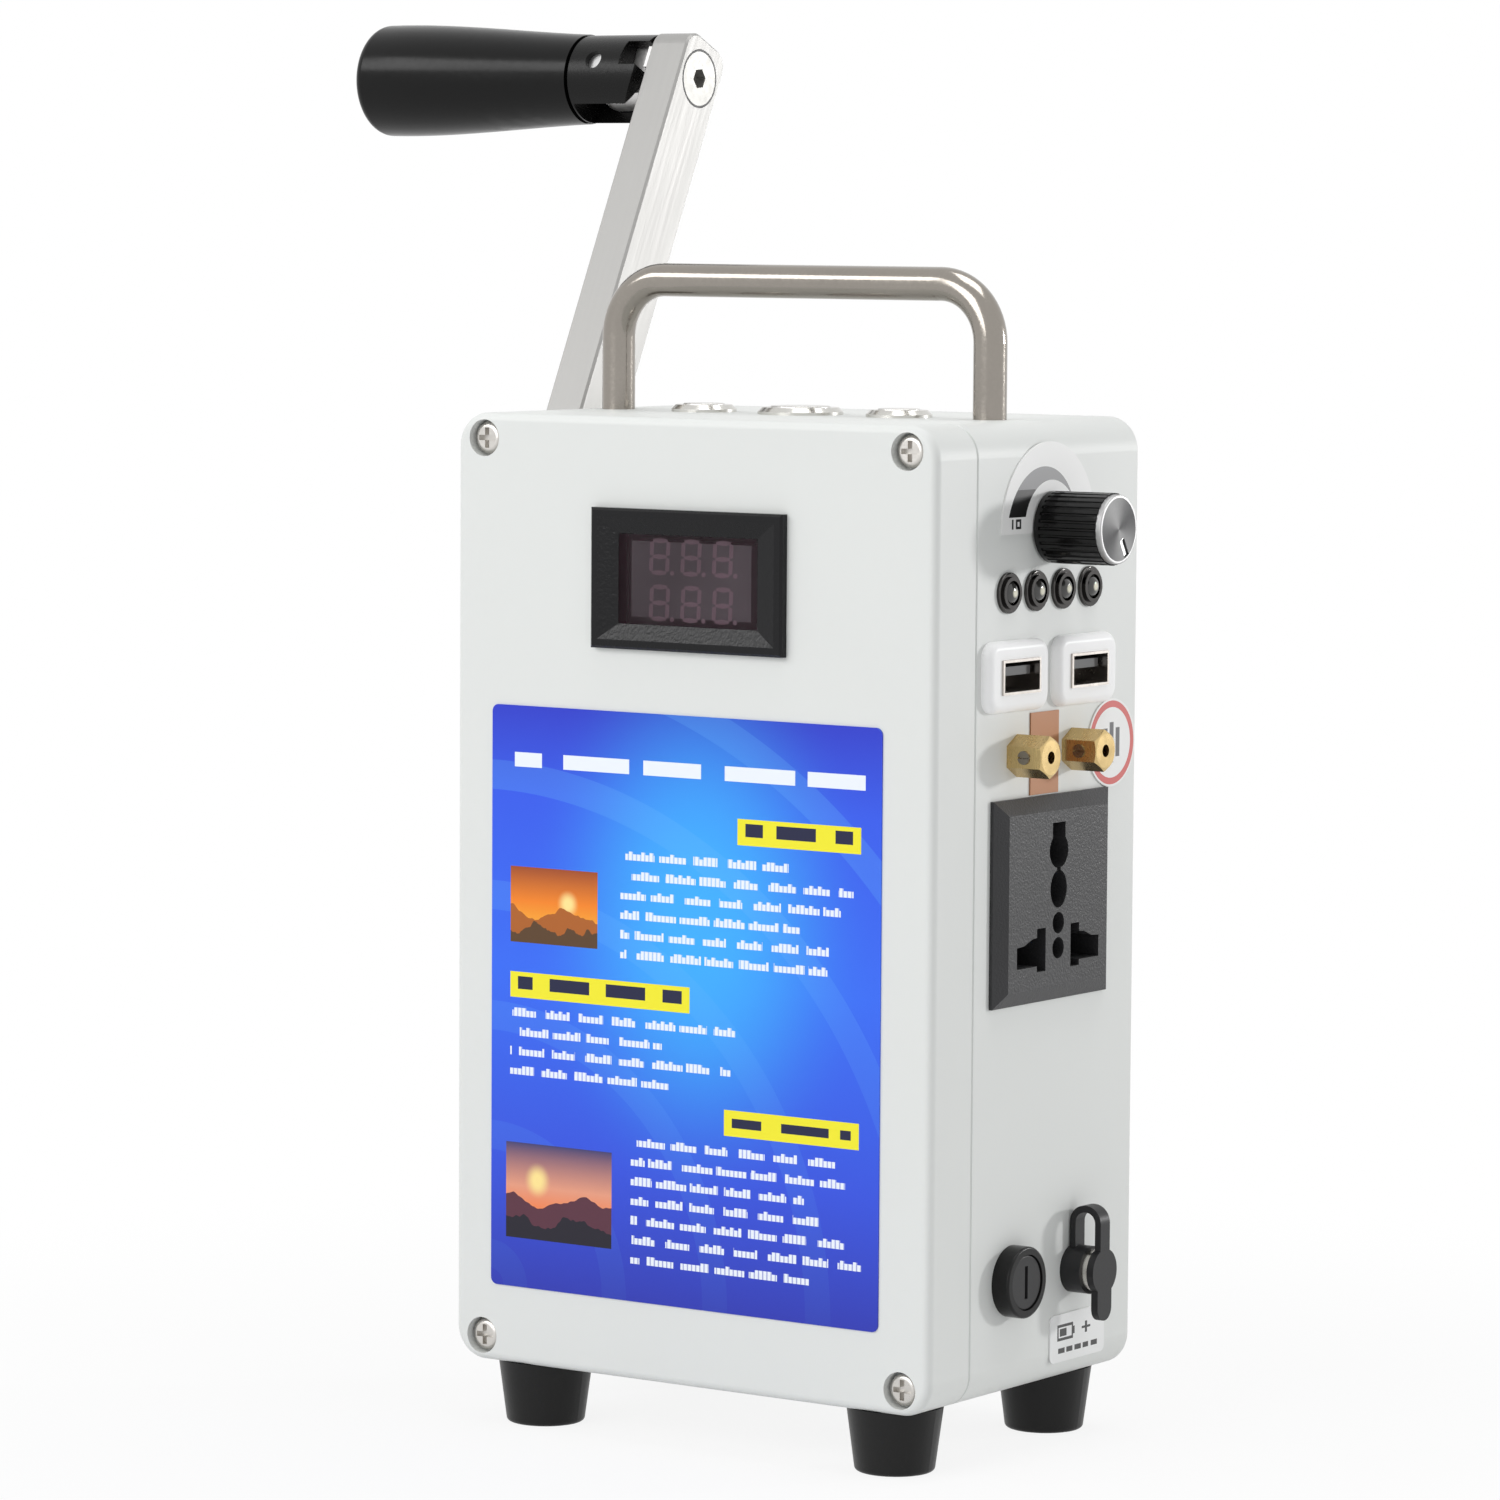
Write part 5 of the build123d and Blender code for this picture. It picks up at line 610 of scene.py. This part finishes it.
digit_wide, digit_tall, bar_wide = 0.0041, 0.0066, 0.00115
column_pitch, row_pitch = 0.0079, 0.0095
bar_gap, bar_thick, lean_share = 0.00072, 0.000015, 0.05
bar_places = ((0, 1, 0), (0, 0, 0), (0, -1, 0), (-1, 0.5, 1), (1, 0.5, 1), (-1, -0.5, 1), (1, -0.5, 1), (1.62, -1, 2))
digit_bars = []
for row_side in (0.5, -0.5):
    for column in (-1, 0, 1):
        for across, up, kind in bar_places:
            bpy.ops.object.select_all(action="DESELECT")
            bpy.ops.mesh.primitive_circle_add(vertices=6, radius=bar_wide * 0.5, fill_type="NGON", location=(0, 0, 0),
                                              rotation=(math.radians(90), 0, 0))
            bar = bpy.context.active_object
            bpy.ops.object.transform_apply(location=False, rotation=True, scale=False)
            bpy.ops.object.mode_set(mode="EDIT")
            bpy.ops.mesh.select_all(action="SELECT")
            bpy.ops.mesh.extrude_region_move(TRANSFORM_OT_translate={"value": (0, -bar_thick, 0)})
            bpy.ops.object.mode_set(mode="OBJECT")
            # a bar lies across (0), stands upright (1) or is a plain dot (2)
            half_long = (digit_wide * 0.5, digit_tall * 0.25, 0.0)[kind] - (bar_gap if kind < 2 else 0.0)
            for corner in bar.data.vertices:
                run = corner.co.z if kind == 1 else corner.co.x
                push = half_long * (1 if run > 0 else -1) if abs(run) > bar_wide * 0.1 else 0
                shift = (0, 0, push) if kind == 1 else (push, 0, 0)
                z = corner.co.z + shift[2] + up * digit_tall * 0.5
                x = corner.co.x + shift[0] + column * column_pitch + across * digit_wide * 0.5
                corner.co = (x + z * lean_share, corner.co.y + display_low.y, z + row_side * row_pitch + meter_z)
            digit_bars.append(bar)
        bpy.ops.object.select_all(action="DESELECT")
for bar in digit_bars:
    bar.select_set(True)
bpy.context.view_layer.objects.active = digit_bars[0]
bpy.ops.object.join()
digits = bpy.context.active_object
digits.name = "meter_digits"
bpy.ops.object.mode_set(mode="EDIT")
bpy.ops.mesh.select_all(action="SELECT")
bpy.ops.mesh.normals_make_consistent(inside=False)
bpy.ops.object.mode_set(mode="OBJECT")
digits.data.materials.append(moulded("digit_resin", (0.22, 0.145, 0.18), 0.5, grain=1500.0, cloud=0.5))
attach(digits, "case")

# ---------------------------------------------------------------- carry handle
# A stainless bar, bent twice and polished along its length, screwed from inside the box.
dress("carry_handle", metal("handle_stainless", (0.31, 0.285, 0.255), 0.16, line=1400.0, tarnish=0.06, bump=0.05))

# ---------------------------------------------------------------- push buttons
# Three nickel-plated switches with bevelled rims in the top of the box.
dress("button_barrels", metal("button_rim_nickel", (0.62, 0.61, 0.58), 0.2, line=1100.0))
cap_nickel = metal("button_cap_nickel", (0.66, 0.65, 0.63), 0.28, line=1600.0)
for which in ("left", "middle", "right"):
    dress(f"button_{which}_cap", cap_nickel)
dress("panel_nuts", metal("nut_nickel", (0.58, 0.56, 0.52), 0.3))

# ---------------------------------------------------------------- knob and its scale
# A black grooved knob with a turned aluminium disc in its end, on a half-round printed scale.
dress("knob_body", moulded("knob_black", (0.004, 0.004, 0.004), 0.14, cloud=0.05, bump=0.05, specular=0.3))


def polar(tree, low, high):
    """A point's distance from a round piece's middle, its angle from the front upward, and both offsets."""
    where = tree.nodes.new("ShaderNodeTexCoord")
    apart = tree.nodes.new("ShaderNodeSeparateXYZ")
    tree.links.new(where.outputs["Object"], apart.inputs[0])
    middle_z = high.z - (high.y - low.y) / 2
    dy = math_node(tree, "SUBTRACT", apart.outputs["Y"], (low.y + high.y) / 2)
    dz = math_node(tree, "SUBTRACT", apart.outputs["Z"], middle_z)
    angle = math_node(tree, "ARCTAN2", dz, product(tree, dy, -1.0))
    return length_of(tree, dy, dz), angle, dy, dz


disc = metal("knob_disc_aluminium", (0.3, 0.3, 0.3), 0.42, line=1300.0, tarnish=0.05, metallic=0.9)
dress("knob_cap", disc)
disc_low, disc_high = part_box("knob_cap")
disc_r = (disc_high.y - disc_low.y) / 2
tree = disc.node_tree
reach, angle, dy, dz = polar(tree, disc_low, disc_high)
# painted sheen: two lighter fans by angle stand in for the light that the turning marks spread, and a painted
# highlight lightens the rim
painted_sheen_fan = math_node(tree, "COSINE", product(tree, math_node(tree, "SUBTRACT", angle, 1.05), 2.0))
painted_sheen_fan = math_node(tree, "ADD", product(tree, painted_sheen_fan, 0.5), 0.5)
paint = mix_colour(tree, painted_sheen_fan, (0.035, 0.035, 0.036, 1), (0.13, 0.13, 0.13, 1))
paint = mix_colour(tree, math_node(tree, "GREATER_THAN", reach, disc_r * 0.91), paint, (0.42, 0.42, 0.42, 1))
# the pointer is painted white in its groove, which points down and 30 degrees to the rear
along = math_node(tree, "SUBTRACT", product(tree, dy, 0.5), product(tree, dz, 0.866))
beside = math_node(tree, "ADD", product(tree, dy, 0.866), product(tree, dz, 0.5))
pointer = product(tree, math_node(tree, "GREATER_THAN", along, disc_r * 0.33),
                  math_node(tree, "LESS_THAN", math_node(tree, "ABSOLUTE", beside), disc_r * 0.08),
                  math_node(tree, "LESS_THAN", reach, disc_r * 0.88))
paint = mix_colour(tree, pointer, paint, (0.95, 0.95, 0.95, 1))
tree.links.new(paint, tree.nodes["Principled BSDF"].inputs["Base Color"])
dress("pot_shaft", metal("pot_shaft_steel", (0.6, 0.6, 0.6), 0.3))
dress("pot_body", metal("pot_body_steel", (0.55, 0.56, 0.56), 0.4))
dial_low, dial_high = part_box("dial_sticker")
tree = bare_finish("dial_print", "dial_sticker")
reach, angle, dy, dz = polar(tree, dial_low, dial_high)
squared = product(tree, angle, angle)
# the band starts wide at the front and narrows as it runs over the top
inner = math_node(tree, "ADD", product(tree, angle, 0.0001), 0.0092)
inner = math_node(tree, "ADD", inner, product(tree, squared, 0.00022))
outer = math_node(tree, "SUBTRACT", 0.0159, product(tree, angle, 0.0023))
outer = math_node(tree, "ADD", outer, product(tree, squared, 0.00013))
band = product(tree, between(tree, reach, inner, outer), math_node(tree, "LESS_THAN", angle, 2.6),
               math_node(tree, "GREATER_THAN", dz, 0.0027))
paint = mix_colour(tree, band, (0.82, 0.82, 0.81, 1), (0.22, 0.22, 0.225, 1))
black = product(tree, band, math_node(tree, "LESS_THAN", dz, 0.0082), math_node(tree, "LESS_THAN", dy, 0.0))
paint = mix_colour(tree, black, paint, (0.004, 0.004, 0.004, 1))
# the figures 1 and 0 below the band, in millimetres from the scale's lower front corner
figure_bars = ((3.7, 4.3, 1.0, 3.0, 0.02), (5.2, 7.2, 1.0, 3.0, 0.02), (5.8, 6.6, 1.5, 2.5, 0.82))
for left, right, bottom, top, shade in figure_bars:
    figure = (dial_low.y + left / 1000, dial_low.y + right / 1000, dial_low.z + bottom / 1000,
              dial_low.z + top / 1000)
    figure = printed(tree, across_and_up(tree, "Y"), bar_group, figure)
    paint = mix_colour(tree, figure.outputs["Mask"], paint, (shade, shade, shade, 1))
lay_paint(tree, paint)

# ---------------------------------------------------------------- indicator lamps
# Four clear round lamps in polished metal holders.
dress("led_holders", metal("lamp_holder_chrome", (0.075, 0.072, 0.07), 0.14, line=900.0))
lamps_low, lamps_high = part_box("led_lamps")
lamp_count, lamp_r = 4, (lamps_high.z - lamps_low.z) / 2
lamp_pitch = (lamps_high.y - lamps_low.y - 2 * lamp_r) / (lamp_count - 1)
tree = bare_finish("lamp_resin", "led_lamps")
places = across_and_up(tree, "Y")
# every lamp gets a small bright painted highlight in the middle of a dark cup
lamp_turn = math_node(tree, "SUBTRACT", places[0], lamps_low.y + lamp_r - lamp_pitch / 2)
lamp_turn = math_node(tree, "FRACT", math_node(tree, "DIVIDE", lamp_turn, lamp_pitch))
aside = product(tree, math_node(tree, "SUBTRACT", lamp_turn, 0.5), lamp_pitch)
above = math_node(tree, "SUBTRACT", places[1], (lamps_low.z + lamps_high.z) / 2)
painted_glint = map_range(tree, length_of(tree, aside, above), (lamp_r * 0.22, lamp_r * 0.42, 1.0, 0.0))
paint = mix_colour(tree, painted_glint, (0.035, 0.035, 0.033, 1), (0.80, 0.78, 0.62, 1))
lay_paint(tree, paint, roughness=0.08).inputs["Coat Weight"].default_value = 0.5

# ---------------------------------------------------------------- charging sockets
# Two white pillow-shaped frames round nickel-plated shells, each with a grey tongue inside.
dress("usb_bezels", moulded("charge_frame_white", (0.98, 0.98, 0.98), 0.35, grain=2200.0, cloud=0.01, bump=0.03))
dress("usb_shells", metal("charge_shell_nickel", (0.60, 0.56, 0.52), 0.24, line=1200.0))
dress("usb_tongues", moulded("charge_tongue_grey", (0.05, 0.05, 0.052), 0.35, specular=0.5))

# ---------------------------------------------------------------- terminals
# Two hexagonal brass posts with an end bore and a side screw. A strip of copper foil and a round sticker with
# a red ring lie beside them.
dress("terminals", metal("terminal_brass", (0.60, 0.44, 0.20), 0.26, stretch=(6.0, 1.0, 1.0), line=500.0,
                         tarnish=0.25))
dress("terminal_screws", metal("set_screw_steel", (0.25, 0.22, 0.18), 0.25, line=1500.0, tarnish=0.5))
dress("terminal_strip", metal("copper_foil", (0.38, 0.18, 0.09), 0.5, line=300.0, tarnish=0.25, metallic=0.25))
ring_low, ring_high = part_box("ring_sticker")
ring_r = (ring_high.y - ring_low.y) / 2
tree = bare_finish("ring_print", "ring_sticker")
reach, angle, dy, dz = polar(tree, ring_low, ring_high)
red = between(tree, reach, ring_r * 0.80, ring_r * 0.95)
paint = mix_colour(tree, red, (0.84, 0.84, 0.83, 1), (0.62, 0.11, 0.10, 1))
# three plain grey bars inside the ring
for offset in (-0.26, 0.0, 0.26):
    aside = math_node(tree, "ABSOLUTE", math_node(tree, "SUBTRACT", dy, ring_r * offset))
    above = math_node(tree, "ABSOLUTE", dz)
    bar = product(tree, math_node(tree, "LESS_THAN", aside, ring_r * 0.085),
                  math_node(tree, "LESS_THAN", above, ring_r * (0.46 - abs(offset) * 0.5)))
    paint = mix_colour(tree, bar, paint, (0.10, 0.10, 0.105, 1))
lay_paint(tree, paint)

# ---------------------------------------------------------------- mains socket
# A black moulded plate with bevelled edges and a universal pattern of holes, lightly sparkled.
dress("ac_socket", moulded("socket_black", (0.034, 0.034, 0.036), 0.4, grain=2000.0, cloud=0.45, bump=0.5,
                           specular=0.35))

# ---------------------------------------------------------------- fuse holder
# A black threaded holder with a slotted cap. The glass fuse comes out with the cap.
fuse_black = moulded("fuse_black", (0.010, 0.010, 0.010), 0.3, grain=2400.0, cloud=0.06)
dress("fuse_holder", fuse_black)
dress("fuse_cap", moulded("fuse_cap_grey", (0.035, 0.035, 0.036), 0.42, grain=2400.0, cloud=0.06))
dress("fuse_link", metal("fuse_ends", (0.6, 0.6, 0.58), 0.25))

# ---------------------------------------------------------------- jack
# A nickel jack in a rubber ring. The ring's band loops over to a rubber cap with a finger tab.
dress("jack_body", metal("jack_nickel", (0.62, 0.6, 0.56), 0.25))
cap_black = moulded("cap_rubber", (0.014, 0.014, 0.015), 0.42, grain=1800.0, cloud=0.15, specular=0.3)
dress("jack_cap", cap_black)
dress("cap_strap", cap_black)
port_low, port_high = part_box("port_label")
tree = bare_finish("port_print", "port_label")
places = across_and_up(tree, "Y")
port_wide, port_tall = port_high.y - port_low.y, port_high.z - port_low.z


def port_span(left, right, bottom, top):
    """Fractions of the port label's width and height, in metres."""
    return (port_low.y + left * port_wide, port_low.y + right * port_wide,
            port_low.z + bottom * port_tall, port_low.z + top * port_tall)


paint = (0.86, 0.865, 0.86, 1)
# a battery (case, inside, cap and charge), a plus sign of two bars, and a row of dashes
sign_bars = ((0.13, 0.42, 0.44, 0.78, 0.04), (0.155, 0.395, 0.50, 0.72, 0.86), (0.42, 0.45, 0.53, 0.69, 0.04),
             (0.175, 0.30, 0.53, 0.69, 0.04), (0.58, 0.74, 0.585, 0.635, 0.04), (0.64, 0.68, 0.49, 0.73, 0.04))
for *edges, shade in sign_bars:
    mark = printed(tree, places, bar_group, port_span(*edges))
    paint = mix_colour(tree, mark.outputs["Mask"], paint, (shade, shade, shade, 1))
mark = printed(tree, places, lines_group, port_span(0.12, 0.88, 0.16, 0.33), Row=0.0017, Fill=0.9, Word=0.0032,
               Mark=1.0, Seed=3.0, Shortest=1.0)
paint = mix_colour(tree, mark.outputs[0], paint, (0.04, 0.04, 0.04, 1))
lay_paint(tree, paint)

# ---------------------------------------------------------------- feet
# Four tapered feet of black rubber, each on its own screw.
dress("rubber_feet", moulded("foot_rubber", (0.007, 0.007, 0.007), 0.38, grain=1600.0, cloud=0.15, bump=0.08,
                             specular=0.25))

# ---------------------------------------------------------------- crank
# A flat bar of satin aluminium on a steel shaft. A black sleeve hinged on its end carries a revolving grip.
lean = math.radians(25.9)
dress("crank_arm", metal("arm_aluminium", (0.36, 0.355, 0.345), 0.46, stretch=(1.0, 1.0, 0.03), turn=lean,
                         line=1500.0, tarnish=0.05, metallic=0.6))
dress("hinge_block", metal("hinge_aluminium", (0.70, 0.69, 0.68), 0.32, metallic=0.9))
dress("crank_screw", screw_zinc)
bolt = metal("bolt_steel", (0.34, 0.335, 0.32), 0.44, metallic=0.7)
dress("grip_bolt", bolt)
bolt_low, bolt_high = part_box("grip_bolt")
tree = bolt.node_tree
reach = polar(tree, bolt_low, bolt_high)[0]
# painted shade: a fine dark ring where the flush head ends in the arm stands in for the shadow in the gap there
painted_gap_shade = math_node(tree, "GREATER_THAN", reach, (bolt_high.y - bolt_low.y) * 0.465)
paint = mix_colour(tree, painted_gap_shade, (0.34, 0.335, 0.32, 1), (0.05, 0.05, 0.05, 1))
tree.links.new(paint, tree.nodes["Principled BSDF"].inputs["Base Color"])
dress("hinge_pin", metal("pin_steel", (0.5, 0.5, 0.5), 0.3))
dress("crank_shaft", metal("shaft_steel", (0.55, 0.55, 0.55), 0.3))
dress("shaft_bush", metal("bush_bronze", (0.45, 0.3, 0.14), 0.4))
dress("grip_ferrule", moulded("ferrule_black", (0.004, 0.004, 0.004), 0.28, grain=1600.0, cloud=0.1, bump=0.1))
dress("grip", moulded("grip_black", (0.003, 0.003, 0.003), 0.22, grain=900.0, cloud=0.1, bump=0.02))

# ---------------------------------------------------------------- gears and generator
# A plastic case with a steel drive gear, a nylon idler, and the generator's can and rotor.
case_black = moulded("case_plastic", (0.03, 0.03, 0.032), 0.5)
dress("gear_case", case_black)
dress("gear_plate", case_black)
dress("drive_gear", metal("drive_gear_steel", (0.5, 0.5, 0.5), 0.35))
dress("idler_gear", moulded("idler_nylon", (0.75, 0.72, 0.62), 0.5))
dress("idler_shaft", metal("idler_shaft_steel", (0.55, 0.55, 0.55), 0.3))
dress("generator_can", metal("can_zinc", (0.62, 0.62, 0.6), 0.35))
dress("generator_rotor", metal("rotor_iron", (0.3, 0.3, 0.31), 0.45, stretch=(8.0, 1.0, 1.0)))

# ---------------------------------------------------------------- battery and boards
# Film-wrapped cells in a black frame, and green circuit boards with a wound transformer.
dress("battery_cells", moulded("cell_film_blue", (0.03, 0.14, 0.4), 0.3))
dress("battery_tray", moulded("tray_black", (0.02, 0.02, 0.02), 0.5))
dress("circuit_boards", moulded("board_green", (0.02, 0.14, 0.06), 0.35))
dress("transformer", moulded("core_ferrite", (0.05, 0.05, 0.052), 0.6))
